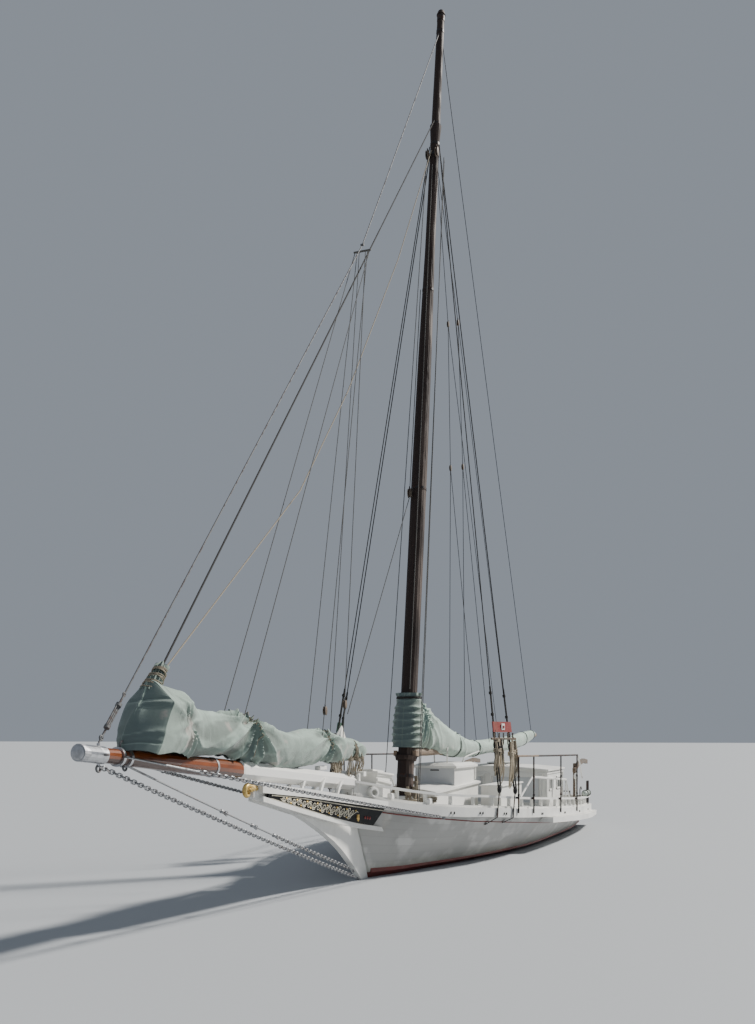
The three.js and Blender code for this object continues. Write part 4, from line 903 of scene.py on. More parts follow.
def roping(name, base):
    """Rope with its strands laid up by the pattern coordinates, dark between them."""
    coat = Coat(name, base, 0.85)
    twist = coat.use("Twist", Vector=coat.place["UV"], Lay=0.02, Strands=1.0)["Height"]
    coat.paint(coat.rest(twist), times(base, 0.35), 0.8)
    coat.mottle(12.0, 0.4, 0.7, times(base, 0.7), 0.6)
    coat.raise_by(twist, 0.004, 0.9)
    return coat.done()


def rubber(paint):
    coat = Coat("Fender", (0.46, 0.52, 0.46), 0.5)
    coat.mottle(9.0, 0.45, 0.7, (0.22, 0.24, 0.2), 0.7)
    coat.dent(30.0, 0.002, 0.4)
    return coat.done()


def pane(paint):
    coat = Coat("Window glass", (0.035, 0.045, 0.05), 0.08)
    coat.mottle(5.0, 0.5, 0.8, (0.12, 0.13, 0.13), 0.5)
    return coat.done()


def of_paint(maker, name, colour, *rest, factor=1.0):
    """A finish in one of the user's colours; the names of further colours among the rest are looked up."""
    def make(paint):
        given = [getattr(paint, item) if isinstance(item, str) else item for item in (colour, *rest)]
        base = given[0] if factor == 1.0 else times(given[0], factor)
        return maker(name, base, *given[1:])
    return make


# For each finish: the record's slot, and a function that makes it of the user's colours
FINISHES = {
    "white": ("white_paint", of_paint(painted, "White paint", "white", (0.4, 0.33, 0.24))),
    "cream": ("cream_paint", of_paint(painted, "Cream paint", "cream", (0.35, 0.27, 0.18), 0.8)),
    # Grey panels: painted shade on the white fronts of the houses
    "panel": ("white_paint", of_paint(painted, "Panel grey paint", "shade", "bare", 0.3)),
    "red": ("red_paint", of_paint(painted, "Port red paint", "red", "bare", 0.6)),
    "green": ("green_paint", of_paint(painted, "Starboard green paint", "green", "bare", 0.6)),
    "hull": ("white_paint", hull_paint),
    "bottom": ("bottom_paint", bottom_paint),
    "stripe": ("bottom_paint", stripe_paint),
    "deck": ("deck_paint", deck_paint),
    "black": ("black_paint", black_paint),
    "varnish": ("varnish", varnished),
    "mast": ("mast_wood", mast_wood),
    "bare": ("bare_wood", of_paint(weathered_wood, "Bare wood", "bare", (0.5, 4.0, 4.0))),
    "block": ("bare_wood", of_paint(weathered_wood, "Block wood", "bare", (4.0, 4.0, 1.5), factor=0.55)),
    "iron": ("iron", of_paint(metal, "Iron", (0.025, 0.024, 0.025), "rust", 0.55, 0.5, 0.4)),
    "wire": ("galvanised", of_paint(metal, "Dull wire", "zinc", "rust", 0.35, 0.65, 0.25, 14.0, factor=0.36)),
    "zinc": ("galvanised", of_paint(metal, "Galvanised metal", "zinc", "rust", 0.3, 0.42, 0.75, 14.0)),
    "silver": ("silver_metal", of_paint(metal, "Silver metal", "silver", (0.3, 0.3, 0.31), 0.5, 0.28, 0.9, 5.0)),
    "gold": ("gilding", of_paint(metal, "Gilding", "gold", (0.3, 0.18, 0.06), 0.6, 0.4, 0.5, 16.0)),
    "canvas": ("canvas", of_paint(cloth, "Faded canvas", "canvas", (0.5, 0.4, 0.36))),
    "bleached": ("canvas", of_paint(cloth, "Bleached canvas", "canvas", (0.5, 0.5, 0.45), factor=1.4)),
    "sail": ("canvas", of_paint(cloth, "Sailcloth", (0.66, 0.65, 0.6), (0.45, 0.42, 0.36))),
    "rope": ("rope", of_paint(roping, "Weathered rope", "rope")),
    "pale": ("rope", of_paint(roping, "Pale rope", "rope", factor=1.7)),
    "grey": ("rope", of_paint(roping, "Grey rope", (0.14, 0.135, 0.125))),
    "tarred": ("rope", of_paint(roping, "Tarred rope", "tarred")),
    "rubber": ("white_paint", rubber),
    "pane": ("black_paint", pane),
}
# The materials by finish, once they are made
READY = {}


def finish(name):
    """A finish's material, made the first time that it is used."""
    if name not in READY:
        READY[name] = FINISHES[name][1](bpy.context.scene.skipjack_paint)
    return READY[name]


# Stage

class SKIPJACK_OT_stage(bpy.types.Operator):
    """Lay a plain floor at the waterline, and set the light and the camera"""

    bl_idname = "skipjack.stage"
    bl_label = "Stage"

    def execute(self, context):
        stage = context.scene.skipjack_stage
        make_floor(stage.floor_size)
        make_light(stage.sun, stage.sky)
        make_camera(stage.camera_height, stage.lens)
        return {"FINISHED"}


# Direction to the key light and its width in degrees, and colours of the lights and the floor
SUN_PLACE = (-0.6, 0.5, 0.62)
SUN_WIDTH = 5.0
SUN_COLOUR = (1.0, 0.965, 0.91)
SKY_COLOUR = (0.72, 0.8, 0.92)
FLOOR_COLOUR = (0.42, 0.44, 0.46)


def make_floor(size):
    """A square at the waterline."""
    half = size / 2
    mesh = bpy.data.meshes.new("floor")
    corners = [(-half, -half, 0.0), (half, -half, 0.0), (half, half, 0.0), (-half, half, 0.0)]
    mesh.from_pydata(corners, [], [(0, 1, 2, 3)])
    mesh.materials.append(Coat("Floor", FLOOR_COLOUR, 0.7).done())
    placed("floor", mesh)


def make_light(sun, sky):
    """A key light from the port quarter, and light all round."""
    lamp = bpy.data.lights.new("key", "SUN")
    lamp.energy = sun
    lamp.angle = math.radians(SUN_WIDTH)
    lamp.color = SUN_COLOUR
    placed("key", lamp).rotation_euler = Vector(SUN_PLACE).to_track_quat("Z", "Y").to_euler()
    world = bpy.data.worlds.new("studio")
    world.use_nodes = True
    background = world.node_tree.nodes["Background"]
    background.inputs["Color"].default_value = (*SKY_COLOUR, 1.0)
    background.inputs["Strength"].default_value = sky
    bpy.context.scene.world = world


# The camera's place on the ground, its heading, and how far the picture is shifted up, as a share of its side
CAMERA_PLACE = (22.51, 6.625)
CAMERA_HEADING = math.atan2(0.9336, -0.3584)
HORIZON_SHIFT = 0.22


def make_camera(height, lens):
    """A level camera off the port bow, shifted up so that the horizon lies low."""
    data = bpy.data.cameras.new("camera")
    data.lens = lens
    data.sensor_width = 36.0
    data.shift_y = HORIZON_SHIFT
    data.clip_end = 2000.0
    camera = placed("camera", data)
    camera.location = (*CAMERA_PLACE, height)
    camera.rotation_euler = (math.pi / 2, 0.0, CAMERA_HEADING)
    bpy.context.scene.camera = camera


# Finishes of the frame's own nodes; a star stands for port and for starboard

NODE_FINISHES = {
    "white": "stem_cutwater wale_* stern_guard rail_* stern_rail bowsprit_bitt trunk winder_house bench_* "
             "cabin_house cabin_roof cabin_hatch cabin_door_* heel_box steering_box headrail_upper_* "
             "headrail_lower_*",
    "deck": "deck",
    "bottom": "keel centreboard rudder",
    "varnish": "bowsprit",
    "mast": "mast",
    "bare": "boom jib_club steering_wheel",
    "block": "davit_*",
    "black": "trailboard_* topping_lift",
    "iron": "safety_rail_* sheet_horse",
    "zinc": "jib_stay",
    "wire": "outer_headstay",
    "silver": "bowsprit_cap",
    "gold": "billet_head",
    "red": "sidelight_board_port",
    "green": "sidelight_board_starboard",
}


class SKIPJACK_OT_finishes(bpy.types.Operator):
    """Paint, oil and gild the pieces of the frame"""

    bl_idname = "skipjack.finishes"
    bl_label = "Finishes"

    def execute(self, context):
        for name, nodes in NODE_FINISHES.items():
            for label in dict.fromkeys(word.replace("*", side) for word in nodes.split() for side, _ in SIDES):
                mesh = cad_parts[label].data
                mesh.materials.clear()
                mesh.materials.append(finish(name))
        return {"FINISHED"}


# Hull

# Frames to each row of the lines, and points across half the deck, down the topside and down the bottom
ROW_FRAMES = 12
CROWN_POINTS = 7
SIDE_POINTS = 17
BOTTOM_POINTS = 9


def hull_rows():
    """Row numbers of the hull's frames, doubled where the centreboard's slot begins and ends."""
    places = np.linspace(0.0, LAST_ROW, LAST_ROW * ROW_FRAMES + 1)
    start, end = (crossing(KEEL_LINE, SLOT[edge]) for edge in ("start", "end"))
    return np.sort(np.concatenate([places, [start - 1e-6, start, end, end + 1e-6]]))


def hull_half(places):
    """Half sections from the deck's middle round to the slot's roof: a parabola for the deck's crown, a
    line with a parabola's bulge for the topside, a line for the bottom and upright walls for the slot."""
    sheer, chine, keel = (faired(rows, places)[:, None, :] for rows in (SHEER_LINE, CHINE_LINE, KEEL_LINE))
    part = np.linspace(0.0, 0.9, CROWN_POINTS)[None, :, None]
    crown = sheer * [1, 0, 1] + sheer * [0, 1, 0] * part + np.array([0, 0, CROWN]) * (1 - part ** 2)
    part = np.linspace(0.0, 1.0, SIDE_POINTS)[None, :, None]
    bulge = bulge_at(places)[:, None, None]
    side = sheer + (chine - sheer) * part + np.array([0, 1, 0]) * bulge * 4 * part * (1 - part)
    part = np.linspace(0.1, 1.0, BOTTOM_POINTS)[None, :, None]
    bottom = chine + (keel - chine) * part
    inside = (places >= crossing(KEEL_LINE, SLOT["start"])) & (places <= crossing(KEEL_LINE, SLOT["end"]))
    wall, head = (
        np.stack([keel[:, 0, 0], np.full(len(places), SLOT["half"]), height], -1)[:, None, :]
        for height in (keel[:, 0, 2], np.where(inside, SLOT["high"], keel[:, 0, 2]))
    )
    return np.concatenate([crown, side, bottom, wall, head, head * [1, 0, 1]], 1)


def hull_shape():
    """Both halves of the hull, closed at stem and transom, with the girth of the topside as the pattern's
    second coordinate."""
    half = hull_half(hull_rows())
    girth = np.ones(half.shape[1])
    girth[:CROWN_POINTS] = 0.0
    girth[CROWN_POINTS:CROWN_POINTS + SIDE_POINTS] = np.linspace(0.0, 1.0, SIDE_POINTS)
    points = at(half[..., 0], half[..., 1], half[..., 2])
    port = grid(points, np.stack(np.broadcast_arrays(half[..., 0], girth[None, :]), -1))
    port.quads = port.quads[:, ::-1]
    ends = [fan(np.vstack([points[row], points[row][1:-1][::-1] * [1, -1, 1]]), outward)
            for row, outward in ((0, AHEAD), (-1, -AHEAD))]
    return joined([both_sides(port), *ends])


# Station and height of the red line along the topsides
STRIPE_LINE = np.array([
    [-0.3, 1.27], [0.44, 1.14], [1.1, 1.04], [2.4, 0.89], [3.5, 0.8], [5.5, 0.64], [8.0, 0.45], [10.5, 0.33],
    [12.6, 0.29],
])


def stripe_shape(height):
    """The red line, laid on the topside at heights worked out from stations."""
    station = np.linspace(0.12, 12.6, 90)
    level = np.interp(station, STRIPE_LINE[:, 0], STRIPE_LINE[:, 1])
    return both_sides(sweep(at(station, topside_at(station, level), level), chamfered(0.01, height, 0.002)))


def chine_log_shape():
    """A flat red log along each chine, standing out from the planking."""
    chine = faired(CHINE_LINE, np.linspace(0.05, LAST_ROW - 0.02, 110))
    path = at(chine[:, 0], chine[:, 1] - 0.004, chine[:, 2] + 0.012)
    return both_sides(sweep(path, chamfered(0.05, 0.085, 0.008)))


# Stations of the scuppers, and a scupper's radii and heights
SCUPPERS = (1.55, 2.35, 3.15, 5.1, 7.2, 9.3, 11.2)
SCUPPER_RIM = ((0.0, 0.012), (0.018, 0.012), (0.024, 0.016), (0.024, 0.0), (0.0, 0.0))


def scupper_shape():
    """Pairs of short pipes through the topside under the rail, closed and black as painted shade inside them."""
    holes = []
    for station in (first + step for first in SCUPPERS for step in (0.0, 0.085)):
        half, height = sheer_at(station)
        holes.append(lathe(SCUPPER_RIM, at(station, half + 0.052, height - 0.035), ACROSS, 14))
    return both_sides(joined(holes))


class SKIPJACK_OT_hull(bpy.types.Operator):
    """Plank the hull, with its red line, chine logs and scuppers"""

    bl_idname = "skipjack.hull"
    bl_label = "Hull"

    def execute(self, context):
        hull = context.scene.skipjack_hull
        planking = piece("hull_planking", hull_shape(), "hull", crease=28.0)
        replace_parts(planking, "hull")
        piece("topside_stripe", stripe_shape(hull.stripe_height), "stripe")
        piece("chine_logs", chine_log_shape(), "stripe")
        # Black plugs: painted shade inside the scupper holes
        piece("scuppers", scupper_shape(), "black")
        return {"FINISHED"}


# Chains and wires under the bowsprit

# Points round a link, and its half width as a part of its pitch
LINK_POINTS = 16
LINK_WIDTH = 0.34


def link_shape(pitch, wire):
    """One link: a wire carried round two half circles joined by straight sides, lying along X."""
    half_width = pitch * LINK_WIDTH
    reach = pitch / 2 + wire - half_width
    angle = np.linspace(0.0, 2 * math.pi, LINK_POINTS + 1)[:-1] + math.pi / LINK_POINTS
    middle = np.stack([np.cos(angle) * half_width + np.sign(np.cos(angle)) * reach,
                       np.sin(angle) * half_width, np.zeros(LINK_POINTS)], 1)
    loop = np.vstack([middle[-1:], middle, middle[:2]])
    left, over = axes_along(loop, UP)[1:]
    turn = np.linspace(0.0, 2 * math.pi, 7)
    wires = (np.cos(turn)[None, :, None] * left[:, None, :] + np.sin(turn)[None, :, None] * over[:, None, :]) * wire
    made = grid((loop[:, None, :] + wires)[1:-1])
    made.quads = made.quads[:, ::-1]
    return made


def resampled(path, step):
    """A path's points at equal steps along it."""
    path = np.asarray(path, float)
    run = np.concatenate([[0.0], np.cumsum(np.linalg.norm(np.diff(path, axis=0), axis=1))])
    count = max(int(round(run[-1] / step)), 1)
    marks = np.linspace(0.0, run[-1], count + 1)
    return np.stack([np.interp(marks, run, path[:, axis]) for axis in range(3)], 1)


def chain_shape(path, pitch, wire):
    """Links along a path, each turned a quarter against the one before."""
    marks = resampled(path, pitch)
    middles = (marks[:-1] + marks[1:]) / 2
    along = unit(marks[1:] - marks[:-1])
    left = unit(np.cross(UP, along))
    over = np.cross(along, left)
    slant = np.where(np.arange(len(middles)) % 2 == 0, 0.6, 0.6 + math.pi / 2)[:, None]
    first = np.cos(slant) * left + np.sin(slant) * over
    turns = np.stack([along, first, np.cross(along, first)], -1)
    return repeated(link_shape(pitch, wire), middles, turns)


# Points along a hanging line, and how deep the bobstays and the bowsprit's shrouds hang
HUNG_POINTS = 41
BOBSTAY_SAG = 0.03
SHROUD_SAG = 0.02
# Of the upper bobstay's forty steps, the one where its rod ends, and those where its shackles sit
ROD_END = 22
SHACKLE_STEPS = (13, 18, 22)
# Radii and heights of a shackle's barrel
BARREL = ((0.0, -0.07), (0.022, -0.07), (0.03, -0.055), (0.02, -0.04), (0.024, 0.0), (0.02, 0.04), (0.03, 0.055),
          (0.022, 0.07), (0.0, 0.07))
BOBSTAYS = {
    "bobstay_lower": (bowsprit_point(*LOWER_BOBSTAY_EYE), at(-0.02, 0.0, 0.03)),
    "bobstay_upper": (bowsprit_point(*UPPER_BOBSTAY_EYE), at(-0.215, 0.0, 0.195)),
}


def shackle_shape(place, beyond):
    """A shackle on a rod: a fat barrel with a collar at each end and a pin across."""
    run = unit(beyond - place)
    across = unit(np.cross(run, UP))
    return joined([lathe(BARREL, place, run, 16), rod(place - across * 0.045, place + across * 0.045, 0.013, 10),
                   ring(place + run * 0.09, across, 0.03, 0.01, 16, 6)])


class SKIPJACK_OT_bow_chains(bpy.types.Operator):
    """Hang the bobstays and the bowsprit's shrouds, in chain"""

    bl_idname = "skipjack.bow_chains"
    bl_label = "Bow chains"

    def execute(self, context):
        rig = context.scene.skipjack_rig
        for name, (start, end) in BOBSTAYS.items():
            sagged = sagging(start, end, BOBSTAY_SAG, HUNG_POINTS)
            parts = [ring(end, ACROSS, 0.028, 0.011)]
            if name == "bobstay_upper":
                parts.append(tube(sagged[:ROD_END + 1], 0.013, 10))
                parts += [shackle_shape(sagged[index], sagged[index + 1]) for index in SHACKLE_STEPS]
                sagged = sagged[ROD_END:]
            parts.append(chain_shape(sagged[:-1], rig.chain_pitch, rig.chain_wire))
            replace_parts(piece(f"{name}_chain", joined(parts), "zinc"), name)
        for label, side in SIDES:
            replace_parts(piece(f"bowsprit_shroud_{label}_chain", bowsprit_shroud(rig, side), "zinc"),
                        f"bowsprit_shroud_{label}")
        return {"FINISHED"}


# Station and height of the eye in the topside, and the share of the shroud that is wire
SHROUD_EYE = (1.48, 1.03)
WIRE_SHARE = 0.16


def bowsprit_shroud(rig, side):
    """Wire from the bowsprit's end, then chain to an eye in the topside."""
    station, height = SHROUD_EYE
    end = at(station, topside_at(station, height) + 0.03, height)
    path = sagging(bowsprit_point(SHROUD_STATION, 0.104), end, SHROUD_SAG, HUNG_POINTS)
    split = int(len(path) * WIRE_SHARE)
    whole = joined([
        tube(path[:split + 1], rig.wire_radius * 1.2, 8), chain_shape(path[split:], rig.chain_pitch, rig.chain_wire),
        ring(end - [0.0, 0.012, 0.0], AHEAD, 0.03, 0.012),
    ])
    return on_side(whole, side)


# The head: trailboards, brackets, carved end and the fittings of the bowsprit

# Middle line of the trailboards: station, distance to port, height
UPPER_HEADRAIL = np.array([
    [-3.9, 0.096, 1.815], [-2.6, 0.175, 1.68], [-1.2, 0.33, 1.5], [0.0, 0.53, 1.34], [0.69, 0.868, 1.25],
])
LOWER_HEADRAIL = np.array([
    [-3.85, 0.086, 1.66], [-2.6, 0.12, 1.4], [-1.4, 0.15, 1.16], [-0.5, 0.2, 1.0], [0.3, 0.33, 0.88],
])
BOARD_SPAN = (-3.62, -0.1)
# How far the board's face stands out from its middle line, and the carving from the face
BOARD_FACE = 0.032
CARVED = 0.004
# Distance between scrolls, length of the stem's wave and distance between beads
SCROLL_STEP = 0.16
STEM_WAVE = 0.32
BEAD_STEP = 0.036
# Stations of the gold fan and of the rosettes
FAN_STATION = -0.72
ROSETTES = (-0.5, -0.42, -0.34)


def rail_at(rows, station):
    """Points of a headrail's middle line at stations."""
    return faired(rows, crossing(rows, station))


def board_point(station, part, proud=0.0):
    """A point on a trailboard: between the two headrails at a part of the way up, stood out from its face."""
    low, high = rail_at(LOWER_HEADRAIL, station), rail_at(UPPER_HEADRAIL, station)
    low, high = low + [0.0, 0.0, 0.045], high - [0.0, 0.0, 0.075]
    middle = low + (high - low) * np.asarray(part, float)[..., None]
    face = unit(np.stack([np.zeros(np.shape(station)), high[..., 2] - low[..., 2], low[..., 1] - high[..., 1]], -1))
    place = middle + face * (BOARD_FACE + proud)
    return at(place[..., 0], place[..., 1], place[..., 2])


def scroll_path(station, up):
    """A leaf scroll on the board: a spiral whose radius falls evenly, on the side that up says."""
    part = np.linspace(0.0, 1.0, 40)
    angle = up * (0.6 + part * 3.2 * math.pi)
    reach = 0.34 * (1 - 0.8 * part)
    return board_point(station + 0.2 * reach * np.cos(angle), 0.5 + reach * np.sin(angle), CARVED)


def board_carving():
    """Gold leaves between scrolls and a gold fan, then pale beads along the edges and scrolls by turns up and
    down along a waving stem, then red rosettes."""
    stations = np.arange(BOARD_SPAN[0] + 0.35, BOARD_SPAN[1] - 0.9, SCROLL_STEP)
    run = np.linspace(BOARD_SPAN[0] + 0.25, BOARD_SPAN[1] - 0.75, 220)
    stems = [scroll_path(station, 1.0 if number % 2 else -1.0) for number, station in enumerate(stations)]
    stems.append(board_point(run, 0.5 + 0.2 * np.sin(run * 2 * math.pi / STEM_WAVE), CARVED))
    leaf = ball([0.0, 0.0, 0.0], 1.0, 1.0, UP, 10)
    lifts = 0.5 + 0.24 * np.where(np.arange(len(stations)) % 2, -1.0, 1.0)
    gold = [leaf.turned(np.diag([0.026, 0.01, 0.014]), place)
            for place in board_point(stations + SCROLL_STEP / 2, lifts, CARVED)]
    fan_middle = board_point(np.array([FAN_STATION]), 0.45, CARVED)[0]
    for angle in np.linspace(-1.2, 1.2, 7):
        tip = fan_middle + [0.11 * math.cos(angle), 0.0, 0.09 * math.sin(angle)]
        gold.append(tube(straight(fan_middle, tip, 5), [0.006, 0.012, 0.016, 0.012, 0.004], 6, ACROSS))
    bead, marks = ball([0.0, 0.0, 0.0], 0.011, 0.8, ACROSS, 8), np.arange(*BOARD_SPAN, BEAD_STEP)
    beads = [repeated(bead, board_point(marks, part)) for part in (0.04, 0.96)]
    pale = [tube(path, 0.006, 6, ACROSS) for path in stems]
    red = [ball(place, 0.03, 0.4, ACROSS, 12) for place in board_point(np.array(ROSETTES), 0.45, 0.003)]
    return joined(gold), joined([*beads, *pale]), joined(red)


# Stations of the knees' fore ends, and their length and rise
KNEES = (-2.62, -2.05, -1.52)
KNEE_LENGTH = 0.34
KNEE_RISE = 0.2


def head_brackets():
    """White arched knees that carry the upper headrail."""
    knees = []
    for station in KNEES:
        _, side, height = rail_at(UPPER_HEADRAIL, station)
        part = np.linspace(0.0, 1.0, 12)
        rise = 0.05 + KNEE_RISE * np.sin(part * math.pi / 2)
        path = at(station + KNEE_LENGTH * part, side - 0.05 - 0.05 * part, height + rise)
        knees.append(sweep(path, chamfered(0.05, 0.05, 0.006), ACROSS))
    return both_sides(joined(knees))


# Middle of the billet, radius of its spiral and of its section, and radii along a leaf
BILLET_MIDDLE = at(-4.02, 0.0, 1.762)
BILLET_REACH = 0.085
BILLET_SECTION = 0.042
LEAF_SIZES = (0.006, 0.014, 0.018, 0.019, 0.018, 0.015, 0.01, 0.004)


def billet_scroll():
    """A carved spiral seen from the side: a round section that tapers as it turns one and a half times."""
    middle = BILLET_MIDDLE
    part = np.linspace(0.0, 1.0, 70)
    angle = 2.2 - part * 3.1 * math.pi
    reach = BILLET_REACH * (1 - 0.82 * part)
    scroll = middle + np.stack([0.09 + reach * np.cos(angle), np.zeros(70), 0.012 + reach * np.sin(angle)], 1)
    path = np.vstack([straight(middle - [0.175, 0.0, -0.035], scroll[0], 14)[:-1], scroll])
    size = np.concatenate([np.linspace(0.05, BILLET_SECTION, 13), BILLET_SECTION * (1 - 0.72 * part)])
    leaves = []
    for side, step in ((side, step) for side in (1.0, -1.0) for step in range(4)):
        start = middle + [-0.15 + 0.06 * step, 0.045 * side, 0.0]
        leaves.append(tube(sagging(start, start + [0.1, 0.012 * side, 0.05], -0.02, 8), LEAF_SIZES, 6, ACROSS))
    return joined([tube(path, size, 14, ACROSS), *leaves])


def turnbuckle(start, end):
    """A rigging screw between two points: an open frame of two bars, two screws and two jaws."""
    along = unit(end - start)
    size = np.linalg.norm(end - start)
    a, b = start + along * size * 0.25, end - along * size * 0.25
    side = unit(np.cross(along, ACROSS))
    bars = [rod(a + side * r, b + side * r, 0.011, 8, ACROSS) for r in (0.026, -0.026)]
    ends = [rod(p - along * 0.02, p + along * 0.02, 0.036, 12, ACROSS) for p in (a, b)]
    return joined([*bars, *ends, rod(start, end, 0.013, 8, ACROSS), ring(start, ACROSS, 0.026, 0.011),
                   ring(end, ACROSS, 0.022, 0.009)])


class SKIPJACK_OT_head(bpy.types.Operator):
    """Carve the trailboards and the billet, and fit the ironwork of the bowsprit"""

    bl_idname = "skipjack.head"
    bl_label = "Head"

    def execute(self, context):
        gold, beads, red = board_carving()
        piece("trailboard_scrolls", both_sides(gold), "gold")
        piece("trailboard_beads", both_sides(beads), "cream")
        piece("trailboard_rosettes", both_sides(red), "red")
        piece("head_knees", head_brackets(), "white")
        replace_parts(piece("billet_carving", billet_scroll(), "gold"), "billet_head")
        piece("bowsprit_fittings", bowsprit_fittings(), "wire")
        piece("bowsprit_bands", bowsprit_bands(), "silver")
        piece("bowsprit_chocks", bowsprit_chocks(), "white")
        return {"FINISHED"}


def bowsprit_fittings():
    """The headstay's turnbuckle, and eyes for the stays, the bobstays and the shrouds."""
    foot = at(*HEADSTAY_FOOT)
    along = unit(at(STAY_KNEE_STATION, 0.0, STAY_KNEE_HEIGHT) - foot)
    shapes = [turnbuckle(foot + along * 0.08, foot + along * 0.72),
              ring(STAY_FOOT + STAY_LINE * 0.03, ACROSS, 0.05, 0.014)]
    for station, side, rise in (LOWER_BOBSTAY_EYE, UPPER_BOBSTAY_EYE):
        shapes.append(ring(bowsprit_point(station, side, rise - 0.03), ACROSS, 0.034, 0.013))
    for side in (1.0, -1.0):
        shapes.append(ring(bowsprit_point(SHROUD_STATION, 0.118 * side), UP, 0.028, 0.011))
        shapes.append(ring(bowsprit_point(HEADSTAY_FOOT[0], 0.1 * side), UP, 0.026, 0.011))
    return joined(shapes)


# Stations and radii of the bands, and radii and heights of the cap's face
BANDS = ((SHROUD_STATION, 0.112), (UPPER_BOBSTAY_EYE[0], 0.116), (-5.1, 0.134))
CAP_FACE = ((0.0, 0.012), (0.05, 0.011), (0.075, 0.006), (0.08, 0.0))


def bowsprit_bands():
    """Flat iron bands round the bowsprit, and the bare rounded face of its cap."""
    along = unit(bowsprit_point(-7.0) - bowsprit_point(-6.0))
    bands = [rod(bowsprit_point(station) - along * 0.02, bowsprit_point(station) + along * 0.02, radius, 28)
             for station, radius in BANDS]
    return joined([*bands, lathe(CAP_FACE, bowsprit_point(BOWSPRIT_TIP) + along * 0.002, along, 28)])


def bowsprit_chocks():
    """A chock on top of the squared part, and timbers beside it before the post."""
    top = bowsprit_point(-1.62, 0.0, 0.15)
    shapes = [slab(top + [-0.14, -0.05, 0.0], top + [0.14, 0.05, 0.07], 0.012)]
    for side in (1.0, -1.0):
        start = bowsprit_point(-0.34, 0.14 * side, 0.16)
        shapes.append(timber(start, start + [0.0, 0.0, -0.44], 0.05, 0.07, AHEAD))
    return joined(shapes)


# Sail covers

def normals_of(points):
    """Unit normals of a grid: the step along its rows crossed with the step along its columns."""
    return unit(np.cross(np.gradient(points, axis=0), np.gradient(points, axis=1)))


def girth_of(points):
    """Distance of each point of a grid from its middle column, along its row."""
    run = np.cumsum(np.linalg.norm(np.diff(points, axis=1), axis=2), axis=1)
    run = np.concatenate([np.zeros((len(points), 1)), run], 1)
    return run[:, [points.shape[1] // 2]] - run


def crease(turn):
    """Folds of stretched cloth: sharp ridges once in each full turn, with rounded hollows between."""
    return 1.9 * (1 - np.abs(np.sin(turn / 2))) ** 1.5 - 0.55


def puckers(u, v, ties, seed):
    """Folds that run out from ties: each is a height times e to the power of minus the distance over its
    reach, times the folds' ridges round the tie, bent by smooth noise."""
    total = np.zeros(u.shape)
    for number, (u0, v0, folds, height, reach) in enumerate(ties):
        du, dv = u - u0, v - v0
        away = np.hypot(du, dv)
        bend = 1.3 * noise(u * 2.2 + 7.3 * number, v * 2.2, seed + number)
        fade = np.exp(-away / reach) * (1 - np.exp(-(away / 0.07) ** 2))
        total += height * fade * crease(folds * np.arctan2(dv, du) + bend)
    return total


def hollows(u, v, seed, height):
    """Slack cloth: long soft folds that run aslant, broken by noise, and small dents."""
    bend = 2.6 * noise(u * 0.9, v * 1.6, seed)
    slant = crease(v * 17.0 + u * 4.0 + bend) * np.clip(noise(u * 0.7 + 5, v * 0.9, seed + 9) + 0.25, 0.0, 1.0)
    return height * (slant + 0.7 * noise(u * 3.5, v * 3.5, seed + 3, 5))


def cover_sections(rows, steps, columns, slit):
    """Sections of a cover from its port hem over the top to its starboard hem. A half angle runs from the
    top to the hem: side is the half width times its sine to a power, height is the middle plus the rise
    times its cosine to that power, and the upper part leans aft. The slit is the half angle left open."""
    smooth = faired(np.asarray(rows, float), np.linspace(0.0, len(rows) - 1.0, steps))[:, None, :]
    station, low, high, half, lean, power = (smooth[..., column] for column in range(6))
    angle = np.linspace(1.0, -1.0, columns)[None, :] * (math.pi - np.reshape(slit, (-1, 1)))
    sine, cosine = np.sin(angle), np.cos(angle)
    side = np.maximum(half, 0.0) * np.sign(sine) * np.abs(sine) ** power
    rise = np.sign(cosine) * np.abs(cosine) ** power
    height = (low + high) / 2 + (high - low) / 2 * rise
    return at(station + lean * (rise + 1) / 2, side, height)


# Station, lowest and highest point, half width, lean aft of the top, and power of the section
JIB_ROWS = [
    [-7.13, 2.33, 3.17, 0.0, 0.6, 0.45], [-7.125, 2.32, 3.18, 0.16, 0.6, 0.45], [-7.11, 2.29, 3.18, 0.29, 0.59, 0.45],
    [-7.07, 2.27, 3.18, 0.31, 0.57, 0.5], [-6.84, 2.27, 3.14, 0.31, 0.45, 0.62], [-6.5, 2.29, 3.13, 0.3, 0.3, 0.68],
    [-6.1, 2.29, 3.05, 0.285, 0.12, 0.8],
    [-5.76, 2.27, 2.9, 0.275, 0.02, 0.9], [-5.42, 2.3, 2.83, 0.27, 0.0, 0.95], [-5.0, 2.3, 2.82, 0.255, 0.0, 0.95],
    [-4.55, 2.25, 2.83, 0.24, 0.0, 0.95], [-4.22, 2.21, 2.78, 0.215, 0.0, 0.95], [-3.85, 2.16, 2.73, 0.24, 0.0, 0.95],
    [-3.4, 2.12, 2.66, 0.23, 0.0, 0.95], [-2.9, 2.06, 2.61, 0.215, 0.0, 0.95], [-2.45, 2.05, 2.63, 0.21, 0.0, 0.95],
    [-1.95, 2.12, 2.64, 0.205, 0.0, 0.95], [-1.63, 2.16, 2.6, 0.17, 0.0, 0.95], [-1.25, 2.1, 2.61, 0.2, 0.0, 0.95],
    [-0.75, 2.12, 2.54, 0.175, 0.0, 0.95], [-0.4, 2.16, 2.47, 0.115, 0.0, 0.95],
    [-0.05, 2.14, 2.45, 0.145, 0.0, 0.95], [0.14, 2.2, 2.37, 0.1, 0.0, 0.95], [0.22, 2.26, 2.31, 0.03, 0.0, 0.95],
]
